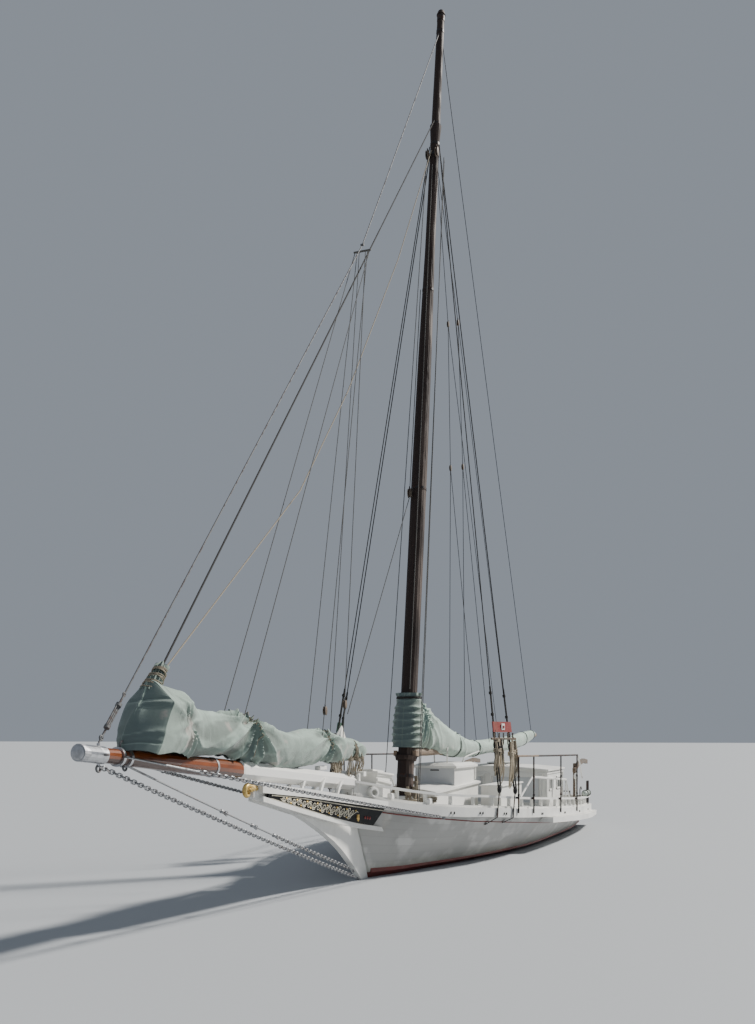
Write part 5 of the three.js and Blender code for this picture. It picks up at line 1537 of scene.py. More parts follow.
# Station, girth from the top, number of folds, height and reach of the folds at each tie
JIB_TIES = [
    (-4.3, 0.16, 12, 0.075, 0.95), (-4.3, -0.3, 9, 0.045, 0.7), (-1.64, 0.18, 11, 0.055, 0.6),
    (-1.64, -0.25, 9, 0.03, 0.4), (-0.4, 0.16, 9, 0.026, 0.3), (-0.4, -0.2, 9, 0.02, 0.25),
    (-6.15, 0.62, 9, 0.03, 0.6),
]
MAIN_ROWS = [
    [2.74, 2.4, 3.34, 0.2, 0.0, 0.8], [3.1, 2.35, 3.3, 0.235, 0.0, 0.85], [3.5, 2.3, 3.19, 0.25, 0.0, 0.9],
    [4.0, 2.24, 3.06, 0.25, 0.0, 0.95], [4.8, 2.15, 2.86, 0.25, 0.0, 0.95], [5.67, 2.08, 2.67, 0.25, 0.0, 0.95],
    [6.76, 2.05, 2.49, 0.24, 0.0, 0.95], [7.5, 2.06, 2.45, 0.23, 0.0, 0.95], [8.2, 2.09, 2.46, 0.225, 0.0, 0.95],
    [9.8, 2.14, 2.5, 0.205, 0.0, 0.95], [11.6, 2.18, 2.57, 0.19, 0.0, 0.95], [13.05, 2.28, 2.68, 0.155, 0.0, 0.95],
    [14.3, 2.46, 2.74, 0.115, 0.0, 0.95], [14.82, 2.58, 2.69, 0.05, 0.0, 0.95],
]
MAIN_TIES = [
    (3.1, 0.35, 17, 0.045, 0.8), (3.1, -0.35, 17, 0.045, 0.8), (5.7, 0.1, 9, 0.026, 0.6), (7.4, 0.1, 9, 0.02, 0.45),
    (9.4, 0.05, 9, 0.014, 0.3), (11.4, 0.05, 9, 0.014, 0.3), (13.1, 0.05, 9, 0.012, 0.25),
]


# Height, rise and slope across of the creases in the hood's front
HOOD_CREASES = (
    (2.815, 0.03, 0.02), (2.7, 0.034, -0.04), (2.76, -0.02, 0.0), (2.9, 0.014, 0.05), (2.96, -0.012, 0.0),
    (2.62, 0.016, -0.1), (2.53, 0.012, 0.1), (2.46, -0.012, 0.0),
)
# Rows and columns of the covers' grids
JIB_GRID = (480, 121)
MAIN_GRID = (520, 105)
# Rows of the jib's cover, each a start and a span, over which its slit closes, its hood and the hood's face
# end, and its folds begin
SLIT_ROWS = (90, 60.0)
HOOD_ROWS = (95, 55.0)
FACE_ROWS = (30, 35.0)
FOLD_ROWS = (40, 50.0)


def jib_cover_grid():
    """The jib's cover: its hood has a flat front that stands along the stay, sloping shoulders and level
    creases, and its port corner lies further aft than its middle."""
    rows = np.arange(JIB_GRID[0])[:, None]
    points = cover_sections(JIB_ROWS, *JIB_GRID, 0.16 + 0.6 * (1 - rising(rows, *SLIT_ROWS)))
    hood = 1 - rising(rows, *HOOD_ROWS)
    shoulder = rising(points[..., 2], 2.93, 0.25)
    low = np.clip((2.7 - points[..., 2]) / 0.35, 0.0, 1.0)
    points[..., 1] *= 1 - hood * (0.7 * shoulder + 0.12 * low)
    points[..., 1] += hood * (0.1 + 0.1 * low) * (1 - 0.7 * shoulder)
    points[..., 0] -= hood * (0.25 * np.maximum(points[..., 1], 0.0) + 0.2 * np.maximum(-points[..., 1], 0.0))
    u, v = ORIGIN_STATION - points[..., 0], girth_of(points)
    height = rising(rows, *FOLD_ROWS) * (puckers(u, v, JIB_TIES, 11) + hollows(u, v, 31, 0.02))
    face = 1 - rising(rows, *FACE_ROWS)
    y, z = points[..., 1], points[..., 2]
    for level, rise, tilt in HOOD_CREASES:
        height += face * rise * np.exp(-((z - level - tilt * y - 0.02 * np.sin(7 * y)) / 0.011) ** 2)
    seam = face * np.exp(-((y - 0.02 * np.sin(9 * z)) / 0.012) ** 2)
    height += 0.012 * seam
    patch = face * (np.abs(y + 0.14) < 0.09) * (np.abs(z - 2.43) < 0.08)
    # The last are heights for the cloth's painted light and shade, raised further where the seam and a patch are, to
    # paint them paler
    return points + normals_of(points) * height[..., None], u, v, height + 0.03 * seam + 0.022 * patch


def round_grid(turn, lift, middle, ahead, aside, across_share):
    """A round cloth's points and its pattern coordinates. The points are the middle, plus the cosine of the
    turn times one reach and the sine times another; the coordinates are a share of the turn, and the lift."""
    points = middle + np.cos(turn)[..., None] * ahead + np.sin(turn)[..., None] * aside
    u, v = (np.broadcast_to(part, points.shape[:2]) for part in (turn * across_share, lift))
    return points, u, v


def neck_grid():
    """The top of the hood, gathered round the stay: a radius that falls up the stay, with lengthwise folds."""
    lift = np.linspace(NECK_FOOT, NECK_FOOT + NECK_LENGTH, 60)[:, None]
    turn = np.linspace(2.85, -2.85, 121)[None, :]
    radius = 0.1 - 0.045 * (lift - NECK_FOOT) / NECK_LENGTH + 0.01 * np.cos(lift * 31.0)
    folds = crease(turn * 12.0 + 2.0 * noise(turn * 1.3 + 4, lift * 4.0, 23)) * 0.013
    spread = (radius + folds + 0.02 * rising(lift, 1.2, 0.08) * np.sin(turn * 4.0))[..., None]
    middle = STAY_FOOT + lift[..., None] * STAY_LINE
    made = round_grid(turn, lift, middle, spread * unit(np.cross(ACROSS, STAY_LINE)), spread * ACROSS, 0.1)
    # The last are heights for the cloth's painted light and shade, lowered a little, which paints the whole neck
    # darker as painted shade
    return *made, folds - 0.01


# Distance up the stay to the neck's foot, and its length
NECK_FOOT = 0.8
NECK_LENGTH = 0.48
# Turns, start up the stay, rise and radius of each cord on the neck
NECK_CORDS = ((3.5, 0.83, 0.4, 0.118), (-3.5, 0.84, 0.38, 0.12), (2.5, 0.9, 0.32, 0.114), (5.0, 0.9, 0.07, 0.12),
              (4.0, 1.14, 0.06, 0.095))


def neck_cords():
    """Cords wound up and down the neck, crossing each other, as paths."""
    cords, first = [], unit(np.cross(ACROSS, STAY_LINE))
    for turns, start, rise, radius in NECK_CORDS:
        part = np.linspace(0.0, 1.0, int(abs(turns) * 22))[:, None]
        angle = turns * 2 * math.pi * part
        around = np.cos(angle) * first + np.sin(angle) * ACROSS
        cords.append(STAY_FOOT + STAY_LINE * (start + rise * part) + (radius - 0.04 * part) * around)
    return cords


def main_cover_grid():
    """The mainsail's cover: sections from its table, with folds from the ties and hollows that calm down aft."""
    points = cover_sections(MAIN_ROWS, *MAIN_GRID, 0.14)
    u, v = ORIGIN_STATION - points[..., 0], girth_of(points)
    calm = 0.35 + 0.65 * np.clip((7.5 - u) / 2.5, 0.0, 1.0)
    height = puckers(u, v, MAIN_TIES, 51) + hollows(u, v, 71, 0.02) * calm
    # The last are heights for the cloth's painted light and shade, a third stronger than the folds
    return points + normals_of(points) * height[..., None], u, v, height * 1.3


# Stations of the cords round the covers, and height of the collar's
JIB_STRAPS = (-4.24, -1.63, -0.4)
MAIN_STRAPS = (5.68, 7.4, 9.4, 11.4, 13.1, 14.3)
COLLAR_CORD_HEIGHT = 3.31
# Height and radius of the collar
COLLAR_ROWS = np.array([
    [2.33, 0.285], [2.5, 0.3], [2.75, 0.3], [3.05, 0.285], [3.27, 0.25], [3.33, 0.232], [3.37, 0.25], [3.43, 0.262],
])


def collar_grid():
    """Cloth round the mast, open behind it: radius by height, with level folds that die away ahead."""
    rows = smoothed(COLLAR_ROWS, 150)
    turn = np.linspace(2.75, -2.75, 181)[None, :]
    lift, radius = rows[:, :1], rows[:, 1:]
    pull = np.exp(-(2.75 - np.abs(turn)) / 0.75)
    folds = crease(lift * 46.0 + 1.8 * noise(turn * 0.8 + 9, lift * 3.0, 91)) * (0.013 + 0.03 * pull)
    spread = radius + folds * np.clip((3.36 - lift) / 0.15, 0.0, 1.0) + 0.012 * noise(turn * 1.4 + 4, lift * 2.0, 97)
    spread = spread + 0.016 * np.sin(turn * 9.0) * rising(lift, 3.34, 0.06)
    made = round_grid(turn, lift, mast_point(lift), spread[..., None] * AHEAD, spread[..., None] * ACROSS, 0.3)
    # The last are heights for the cloth's painted light and shade: the folds made stronger, and painted shade on the
    # collar's front, away from the key light
    return *made, folds * 1.4 - 0.004 - 0.02 * np.clip(1.1 - np.abs(turn + 0.1), 0.0, 1.0)


def cloth_piece(name, made, body, node_name=None, material="canvas"):
    """A sheet of a grid's points, pattern and folds, which stands for one of the frame's nodes if named."""
    points, u, v, folds = made
    cover = piece(name, grid(points, np.stack([u, v], -1)), material, body, crease=70.0, folds=folds)
    if node_name:
        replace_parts(cover, node_name)


def ring_round(made, row, swell):
    """A path round a cover's row, a little outside it, closed under the hem."""
    loop = made[0][row] + normals_of(made[0])[row] * swell
    return np.vstack([loop, loop[:1]])


def row_at(made, station):
    """The grid's row nearest to a station at its widest column."""
    return int(np.argmin(np.abs(made[1][:, made[1].shape[1] // 4] - station)))


# Distance between two turns of a cord
TURN_STEP = 0.035


def strap_shape(made, stations, radius, turns=3):
    """Cords passed a few times round a cover at stations, each turn a little further aft."""
    cords = []
    for station, turn in ((station, turn) for station in stations for turn in range(turns)):
        row = row_at(made, station + TURN_STEP * (turn - (turns - 1) / 2))
        cords.append(tube(ring_round(made, row, 0.004 + 0.003 * turn), radius, 6, AHEAD))
    return joined(cords)


def coil_path(middle, axis, radius, rise, turns, wobble=0.0):
    """A helix: radius round an axis, rising evenly, with a radius that wavers."""
    axis = unit(axis)
    first = unit(np.cross(axis, ACROSS if abs(axis[1]) < 0.9 else AHEAD))
    part = np.linspace(0.0, 1.0, int(turns * 24) + 1)[:, None]
    angle = part * turns * 2 * math.pi
    reach = radius * (1 + wobble * np.sin(angle * 0.37 + 1.0) * np.cos(angle * 1.7))
    around = np.cos(angle) * first + np.sin(angle) * np.cross(axis, first)
    return np.asarray(middle, float) + around * reach + axis * (part * rise)


class SKIPJACK_OT_sail_covers(bpy.types.Operator):
    """Drape the canvas covers of the jib and the mainsail and lash them"""

    bl_idname = "skipjack.sail_covers"
    bl_label = "Sail covers"

    def execute(self, context):
        rig = context.scene.skipjack_rig
        jib, body, collar = jib_cover_grid(), main_cover_grid(), collar_grid()
        thin = rig.rope_radius * THIN_ROPE
        cloth_piece("jib_cover_canvas", jib, "jib_club", "jib_cover")
        cloth_piece("main_cover_canvas", body, "boom", "main_cover", "bleached")
        cloth_piece("mast_collar_canvas", collar, "boom")
        cloth_piece("jib_neck_canvas", neck_grid(), "jib_club")
        piece("jib_neck_cords", lines_shape(neck_cords(), thin), "rope", "jib_club")
        piece("jib_cover_cords", strap_shape(jib, JIB_STRAPS, 0.007), "rope", "jib_club")
        piece("main_cover_cords", strap_shape(body, MAIN_STRAPS, 0.006, 2), "tarred", "boom")
        collar_cord = coil_path(mast_point(COLLAR_CORD_HEIGHT), UP, 0.25, 0.04, 3.0)
        piece("collar_cord", tube(collar_cord, rig.rope_radius, 6), "tarred", "boom")
        return {"FINISHED"}


# Shrouds

# Name, station and height of the lower deadeye, and distance ahead of the mast and height of the upper end
SHROUDS = (("forward", 2.91, 1.5, 0.028, 15.52), ("after", 3.5, 1.45, -0.028, 15.42))
# Distance of the lower deadeye from the sheer, of the upper end from the mast, and between the deadeyes
DEADEYE_OUT = 0.1
SHROUD_END_OUT = 0.11
DEADEYE_SPREAD = 0.9
# Part of the radius, and height, of a deadeye's upper half from its face to its groove
DEADEYE_RIM = ((0.0, 0.036), (0.55, 0.036), (0.85, 0.028), (1.0, 0.02), (0.9, 0.0))
# Length and radius of the served part of the wire, and distances up it of the seizings
SERVED_LENGTH = 1.1
SERVED_RADIUS = 0.019
SEIZINGS = (0.1, 0.5, 0.94)
# The lanyards: distances from the deadeye's middle ahead and aside, and radius
LANYARD_PLACES = (-0.038, 0.0, 0.038)
LANYARD_FACES = (0.0222, -0.0222)
LANYARD_RADIUS = 0.0085
# Height at which the chainplates end on the topside
CHAINPLATE_FOOT = 0.79


def shroud_ends(row):
    """A port shroud's lower deadeye and upper end."""
    _, station, height, ahead, top = row
    lower = at(station, sheer_at(station)[0] + DEADEYE_OUT, height)
    return lower, mast_point(top, SHROUD_END_OUT, ahead)


def deadeye_shape(middle, radius):
    """A round flattened wooden eye with a groove for its strop."""
    half = np.array(DEADEYE_RIM)
    rim = np.vstack([half, half[-2::-1] * [1.0, -1.0]])
    return lathe(rim * [radius, 1.0], middle, ACROSS, 28)


def shroud_parts(row, rig, side):
    """A shroud's wire, its two deadeyes with strops and lanyard, and its chainplate."""
    lower, upper = shroud_ends(row)
    along = unit(upper - lower)
    eye = lower + along * DEADEYE_SPREAD
    radius = rig.deadeye_radius
    served = eye + along * (radius + 0.01)
    ropes = [rod(served, served + along * SERVED_LENGTH, SERVED_RADIUS, 8), rod(served, upper, rig.wire_radius, 8),
             tube(straight(served, served + along * 1.0) + [0.032, 0.0, 0.0], 0.011, 8)]
    ropes += [tube(straight(served + along * r, served + along * (r + 0.05)) + [0.014, 0, 0], 0.032, 10)
              for r in SEIZINGS]
    ropes += [rod(lower + [offset, face, 0.03], eye + [offset * 0.9, face, -0.03], LANYARD_RADIUS, 6)
              for offset in LANYARD_PLACES for face in LANYARD_FACES]
    ropes.append(tube(coil_path(eye + along * 0.13, along, 0.03, 0.16, 5.0), 0.008, 6))
    station, half, height = row[1], *sheer_at(row[1])
    plate = resampled([
        lower - [0, 0, 0.02],
        at(station, half + 0.07, height + 0.075),
        at(station - 0.04, half + 0.07, height - 0.11),
        at(station - 0.09, topside_at(station - 0.09, CHAINPLATE_FOOT) + 0.006, CHAINPLATE_FOOT),
    ], 0.02)
    parts = {
        "wood": joined([deadeye_shape(lower, radius), deadeye_shape(eye, radius)]),
        "iron": joined([
            ring(lower, ACROSS, radius, 0.011, 28), ring(eye, ACROSS, radius + 0.002, 0.012, 28),
            sweep(plate, chamfered(0.014, 0.058, 0.004), AHEAD),
            *[ball(plate[index] + [0, 0.008, 0], 0.016, 0.5, ACROSS, 10) for index in (-3, -9)],
        ]),
        "tarred": joined(ropes),
    }
    return {name: on_side(shape, side) for name, shape in parts.items()}


class SKIPJACK_OT_shrouds(bpy.types.Operator):
    """Set up the shrouds with deadeyes, lanyards and chainplates"""

    bl_idname = "skipjack.shrouds"
    bl_label = "Shrouds"

    def execute(self, context):
        rig = context.scene.skipjack_rig
        for label, side in SIDES:
            for row in SHROUDS:
                name = f"shroud_{row[0]}_{label}"
                parts = shroud_parts(row, rig, side)
                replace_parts(piece(f"{name}_rope", parts["tarred"], "tarred"), name)
                piece(f"{name}_deadeyes", parts["wood"], "black")
                piece(f"{name}_iron", parts["iron"], "iron")
        return {"FINISHED"}


# Running rigging

# Radius and height of a sheave, and half sizes of a block's cheek, as parts of the block's length
SHEAVE_RIM = np.array([[0.0, 0.05], [0.26, 0.05], [0.22, 0.0], [0.26, -0.05], [0.0, -0.05]])
CHEEK_SIZE = np.diag([0.34, 0.075, 0.5])


def block_shapes(top, length):
    """A wooden block hung by its top: two rounded cheeks, a sheave and an iron strap with an eye."""
    middle = np.asarray(top, float) - UP * (0.62 * length)
    cheek = ball([0.0, 0.0, 0.0], 1.0, 1.0, UP, 18).turned(CHEEK_SIZE * length)
    sheave = lathe(SHEAVE_RIM * length, middle, ACROSS, 20)
    strap = sweep(straight(top, middle - UP * 0.4 * length), chamfered(0.05 * length, 0.12 * length, 0.01 * length),
                  ACROSS)
    cheeks = repeated(cheek, [middle + ACROSS * side * 0.12 * length for side in (-1.0, 1.0)])
    return cheeks, joined([sheave, strap, ring(top, ACROSS, 0.09 * length, 0.03 * length, 16, 6)])


def add_blocks(name, places, length, body="boat"):
    """Blocks hung at places, as a piece of wood and a piece of iron."""
    shells, irons = zip(*(block_shapes(place, length) for place in places))
    piece(f"{name}_shells", joined(shells), "block", body)
    piece(f"{name}_straps", joined(irons), "iron", body)


def lines_shape(paths, radius):
    """Thin ropes along paths."""
    return joined([tube(path, radius, 6) for path in paths])


# Radius of thin rope, as a part of a halyard's
THIN_ROPE = 0.8
# Points along the jib's stay, and how many of them are served
STAY_POINTS = 60
STAY_SERVED = 42
# Station, side and height of the points of the lazy jacks' port half, and of the jib's halyard; the upper end
# of the mainsail's is a place on the mast, and the jib's start from a bar
MAIN_JACKS = {
    "top": (15.35, 0.0, -0.12),
    "block": (5.86, 0.12, 12.18), "fork": (6.15, 0.15, 8.9), "last": (10.8, 0.15, 2.42),
    "feet": ((6.2, 0.19, 2.45), (8.55, 0.17, 2.38)),
}
JIB_JACKS = {
    "bar": 0.165, "half": 0.14, "apart": 0.04, "height": 11.26,
    "feet": ((-4.6, 0.165, 2.62), (-1.9, 0.137, 2.43), (-1.0, 0.122, 2.38)),
}
JIB_HALYARD = ((4.217, 0.0, 15.3), (2.078, 0.0, 11.96), (-0.48, 0.0, 8.53), (-2.4, 0.0, 6.36), (-6.18, 0.0, 3.33))
# The halyards, as places on the mast: height, distance to port and distance ahead
HALYARDS = (
    ((15.2, 0.2, -0.1), (0.98, 0.36, 0.22)), ((15.2, 0.23, 0.02), (0.98, 0.42, 0.3)),
    ((14.9, -0.2, -0.05), (0.98, -0.36, 0.22)), ((12.1, -0.1, 0.2), (7.7, -0.12, 0.22)),
    ((7.5, -0.12, 0.22), None), ((15.0, 0.02, 0.16), (3.5, 0.1, 0.26)),
)
# Station, distance to port and height of the end of the one that leaves the mast
LOOSE_END = (0.1, -0.25, 2.95)
# The blocks on the mast, as places on it
MASTHEAD_BLOCKS = ((15.42, 0.1, 0.16), (15.4, -0.12, 0.14), (7.72, -0.12, 0.24))


def jib_jack_legs(side):
    """Upper and lower ends of the jib's lazy jacks on a side: from the bar on the outer stay to the club."""
    return [(at(STAY_KNEE_STATION, side * (JIB_JACKS["half"] - JIB_JACKS["apart"] * number), JIB_JACKS["height"]),
             at(*foot) * [1.0, side, 1.0]) for number, foot in enumerate(JIB_JACKS["feet"])]


def halyard_paths():
    """Straight lines down the mast, and one from it to its loose end."""
    return [straight(mast_point(*top), mast_point(*foot) if foot else at(*LOOSE_END)) for top, foot in HALYARDS]


def main_gear():
    """Lazy jacks of the mainsail: on each side a fall from the hounds to a block, one leg of it aft to the
    boom, and one down to a second block with two legs."""
    paths, blocks = [], []
    start = mast_point(*MAIN_JACKS["top"])
    for side in (1.0, -1.0):
        mirror = [1.0, side, 1.0]
        upper, lower, last = (at(*MAIN_JACKS[key]) * mirror for key in ("block", "fork", "last"))
        paths += [straight(start, upper), straight(upper, lower), straight(upper, last)]
        paths += [straight(lower, at(*foot) * mirror) for foot in MAIN_JACKS["feet"]]
        blocks += [upper, lower]
    return paths, blocks


class SKIPJACK_OT_running_rigging(bpy.types.Operator):
    """Reeve the halyards and lazy jacks and hang their blocks"""

    bl_idname = "skipjack.running_rigging"
    bl_label = "Running rigging"

    def execute(self, context):
        rig = context.scene.skipjack_rig
        thin = rig.rope_radius * THIN_ROPE
        stay = straight(STAY_FOOT, mast_point(JIB_STAY_TOP), STAY_POINTS)
        served = joined([tube(stay[:STAY_SERVED], rig.wire_radius * 1.15, 8),
                         tube(stay[STAY_SERVED - 1:], rig.wire_radius, 8)])
        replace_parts(piece("jib_stay_wire", served, "tarred", slot="galvanised"), "jib_stay")
        piece("halyards", lines_shape(halyard_paths(), rig.rope_radius), "grey")
        halyard = tube(np.array([at(*point) for point in JIB_HALYARD]), rig.rope_radius, 8)
        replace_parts(piece("jib_halyard_rope", halyard, "rope", "jib_club"), "jib_halyard")
        legs = [straight(*leg) for side in (1.0, -1.0) for leg in jib_jack_legs(side)]
        ends = [at(STAY_KNEE_STATION, side * JIB_JACKS["bar"], JIB_JACKS["height"]) for side in (-1.0, 1.0)]
        jacks = joined([lines_shape(legs, thin), rod(*ends, 0.018, 10)])
        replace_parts(piece("jib_lazy_jack_ropes", jacks, "grey", "jib_club"), "jib_lazy_jacks")
        paths, blocks = main_gear()
        jacks = piece("main_lazy_jack_ropes", lines_shape(paths, thin), "tarred", "boom")
        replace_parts(jacks, "main_lazy_jacks")
        add_blocks("lazy_jack_blocks", np.array(blocks) + [0.0, 0.0, 0.08], rig.block_length * 0.7, "boom")
        add_blocks("mast_blocks", [mast_point(*place) for place in MASTHEAD_BLOCKS], rig.block_length)
        return {"FINISHED"}


# Mast fittings and the gear at its foot

# Height and width of the bands, from the masthead down
MAST_BANDS = ((18.62, 0.12), (18.3, 0.07), (16.02, 0.06), (15.56, 0.06), (15.3, 0.05), (12.15, 0.05), (7.72, 0.05),
              (1.75, 0.07), (1.2, 0.07))
# Height and bearing of the cleats, and of the coils on them
MAST_CLEATS = ((1.35, 0.6), (1.5, 1.5), (1.4, -0.8), (1.62, 2.3), (1.45, -1.9))
MAST_COILS = ((1.55, 0.6), (1.65, 1.5), (1.55, -0.8), (1.75, 2.3))
# Station, distance to port and radius of the coils on deck
DECK_COILS = ((1.35, 0.42, 0.19), (1.75, -0.4, 0.2), (2.1, 0.62, 0.16))
# Offsets of the blocks at the mast's foot from its middle
FOOT_BLOCKS = np.array([[0.1, 0.3, 0.22], [0.32, -0.2, 0.22], [-0.1, 0.32, 0.22]])
# Radius and height of the boot
BOOT_RIM = ((0.172, 0.1), (0.2, 0.09), (0.215, 0.05), (0.225, -0.05), (0.245, -0.06), (0.245, -0.08), (0.18, -0.09))


def mast_band(height, width):
    """A flat rim turned round the mast."""
    radius = float(mast_radius(height)) + 0.006
    rim = [[radius - 0.02, -width / 2], [radius, -width / 2], [radius, width / 2], [radius - 0.02, width / 2]]
    return lathe(rim, mast_point(height), MAST_LINE, 32)


def mast_face(height, bearing, proud=0.0):
    """A place on the mast's face at a height and a bearing from ahead, and the direction out of it."""
    outward = np.array([math.cos(bearing), math.sin(bearing), 0.0])
    return mast_point(height) + outward * (float(mast_radius(height)) + proud), outward


def horn_cleat(place, outward):
    """A cleat along the mast: a base, and a bar whose two horns rise and thin out."""
    part = np.linspace(-1.0, 1.0, 13)
    horns = place + MAST_LINE * 0.13 * part[:, None] + outward * (0.05 + 0.02 * part[:, None] ** 2)
    base = timber(place - MAST_LINE * 0.03, place + MAST_LINE * 0.03, 0.03, 0.1, outward)
    return joined([tube(horns, 0.016 - 0.009 * np.abs(part), 8, outward), base])


def hung_coil(top, outward, drop, loops, radius, seed):
    """A coil of rope hung by its top: long loops that hang as half waves, spread and wavering."""
    turn = np.random.default_rng(seed)
    top, outward = np.asarray(top, float), unit(outward)
    aside = unit(np.cross(outward, UP))
    part = np.linspace(0.0, 1.0, 37)[:, None]
    angle = 2 * math.pi * part
    bulge = np.sin(angle / 2) ** 0.5
    paths = []
    for _ in range(loops):
        width, fall, lean = turn.uniform(0.035, 0.09), drop * turn.uniform(0.72, 1.0), turn.uniform(-0.02, 0.02)
        out = turn.uniform(0.012, 0.06) + 0.02 * np.sin(angle * 1.5)
        swing = width * np.sin(angle) * bulge + lean * part
        paths.append(top + aside * swing - UP * (fall * np.sin(angle / 2)) + outward * out)
    paths.append(coil_path(top - UP * drop * 0.22 + outward * 0.035, -UP, 0.06, drop * 0.09, 4.0, 0.1))
    return joined([tube(path, radius, 6, outward) for path in paths])


class SKIPJACK_OT_mast_gear(bpy.types.Operator):
    """Band the mast, and hang its ropes in coils on cleats"""

    bl_idname = "skipjack.mast_gear"
    bl_label = "Mast gear"

    def execute(self, context):
        rig = context.scene.skipjack_rig
        piece("mast_bands", joined([mast_band(*band) for band in MAST_BANDS]), "iron")
        piece("mast_cleats", joined([horn_cleat(*mast_face(*place)) for place in MAST_CLEATS]), "bare")
        piece("mast_boot", lathe(BOOT_RIM, mast_point(deck_height(MAST_FOOT[0]) + 0.05), MAST_LINE, 40), "white")
        coils = [hung_coil(*mast_face(*place, 0.02), 0.5, 7, rig.rope_radius * 1.2, 40 + number)
                 for number, place in enumerate(MAST_COILS)]
        piece("mast_coils", joined(coils), "rope")
        level = deck_height(1.6) + 0.02
        laid = [tube(coil_path(at(station, side, level), UP, radius, 0.09, 6.0, 0.12), rig.rope_radius * 1.3, 6)
                for station, side, radius in DECK_COILS]
        piece("deck_coils", joined(laid), "rope")
        add_blocks("foot_blocks", mast_point(1.0) + FOOT_BLOCKS, rig.block_length * 0.9)
        return {"FINISHED"}


# Deck gear forward

# Station and rise over the sheer of the hawse holes, and radius and depth of the ring's outer half
HAWSE_STATION = -0.12
HAWSE_RISE = 0.155
HAWSE_RIM = ((0.052, -0.07), (0.066, -0.085), (0.098, -0.08), (0.108, -0.05))


def hawse_ring(side):
    """A cast ring round the hawse hole, on both faces of the bulwark."""
    half, height = sheer_at(HAWSE_STATION)
    rim = np.array(HAWSE_RIM)
    rim = np.vstack([rim, rim[::-1] * [1.0, -1.0], rim[:1]])
    return lathe(rim, at(HAWSE_STATION, half * side, height + HAWSE_RISE), unit([0.55, side, 0.0]), 36)


# Ends, width and thickness of the heel box's lid, of the board on it and of the batten along its foot
HEEL_LID = (at(0.9, 0.0, 1.835), at(0.04, 0.0, 1.915), 0.7, 0.035)
HEEL_BOARD = (at(0.62, 0.0, 1.9), at(0.06, 0.0, 1.95), 0.5, 0.035)
HEEL_BATTEN = (at(0.84, 0.315, 1.68), at(0.1, 0.315, 1.78), 0.03, 0.05)
# Stations of the fairleads
FAIRLEADS = (0.28, 1.1)


def heel_box_trim():
    """Two boards of the box's lid, one on the other, and a batten along its foot on each side."""
    return joined([timber(*HEEL_LID), timber(*HEEL_BOARD), both_sides(timber(*HEEL_BATTEN))])


def fairlead_blocks():
    """White chocks on the log rail beside the heel box."""
    shapes = []
    for station in FAIRLEADS:
        half, height = sheer_at(station)
        base = at(station, half - 0.02, height + DECK_TOP + 0.11)
        shapes.append(timber(base - [0.09, 0.0, 0.0], base + [0.09, 0.0, 0.0], 0.09, 0.11, UP, 0.015))
    return both_sides(joined(shapes))


class SKIPJACK_OT_deck_gear(bpy.types.Operator):
    """Fit the hawse rings, chocks and the lids of the forward boxes"""

    bl_idname = "skipjack.deck_gear"
    bl_label = "Deck gear"

    def execute(self, context):
        piece("hawse_rings", joined([hawse_ring(1.0), hawse_ring(-1.0)]), "white")
        piece("heel_box_lid", heel_box_trim(), "white")
        piece("fairlead_blocks", fairlead_blocks(), "white")
        return {"FINISHED"}


# Houses

# The cabin: stations of its front and its back, half width and height of its eaves
CABIN_FRONT = 9.0
CABIN_BACK = 11.2
CABIN_HALF = 1.56
CABIN_EAVES = 1.6
# The cabin's grey front panels are painted shade on its white front
# Distance to port of the panel on its front, and heights of the middle of the panel and of its frame's rails
PANEL_SIDE = 0.76
PANEL_HEIGHT = 1.17
PANEL_RAILS = (0.8, 1.54)
# Its windows: stations of their fore ends, length, and heights of sill and head
WINDOWS = (9.35, 10.35)
WINDOW_LENGTH = 0.48
WINDOW_SILL = 1.18
WINDOW_HEAD = 1.44
# Station of the front of the winder's tall box, and ends of the benches' lids and of the hatch's runners
WINDER_FRONT = 4.462
BENCH_LID = (at(5.48, 1.0, 1.43), at(7.62, 1.0, 1.43))
HATCH_RUNNER = (at(9.5, 0.4, 1.772), at(11.18, 0.4, 1.768))


def frame_on_side(start, end, low, high, outside, width, depth):
    """Four battens round an opening in a wall that faces aside."""
    shapes = [timber(at(start - width, outside, level), at(end + width, outside, level), depth, width)
              for level in (low - width / 2, high + width / 2)]
    shapes += [timber(at(place, outside, low - width), at(place, outside, high + width), depth, width, AHEAD)
               for place in (start - width / 2, end + width / 2)]
    return joined(shapes)


# Station of each end, half width, and heights at the ends of the battens under the trunk's and the cabin's roof
ROOF_BATTENS = ((2.9, 6.3, 0.48, 1.36, 1.44), (CABIN_FRONT, CABIN_BACK, CABIN_HALF, CABIN_EAVES, CABIN_EAVES))
# Station, half width, foot and head of the corner boards
CORNER_BOARDS = ((6.1, 0.45, 1.55, 1.86), (CABIN_FRONT, CABIN_HALF, 0.72, CABIN_EAVES),
                 (CABIN_BACK, CABIN_HALF, 0.7, CABIN_EAVES))


def house_mouldings():
    """Battens under the roofs' edges and corner boards, of the trunk, the tall box and the cabin."""
    shapes = []
    for first, last, half, low, high in ROOF_BATTENS:
        shapes.append(timber(at(first - 0.012, half + 0.012, low), at(last + 0.012, half + 0.012, high), 0.024, 0.05))
        shapes.append(timber(at(first - 0.012, 0.0, low), at(first - 0.012, half + 0.024, low), 0.024, 0.05))
    for station, half, low, high in CORNER_BOARDS:
        shapes.append(timber(at(station, half + 0.006, low), at(station, half + 0.006, high), 0.05, 0.05, AHEAD))
    return both_sides(joined(shapes))


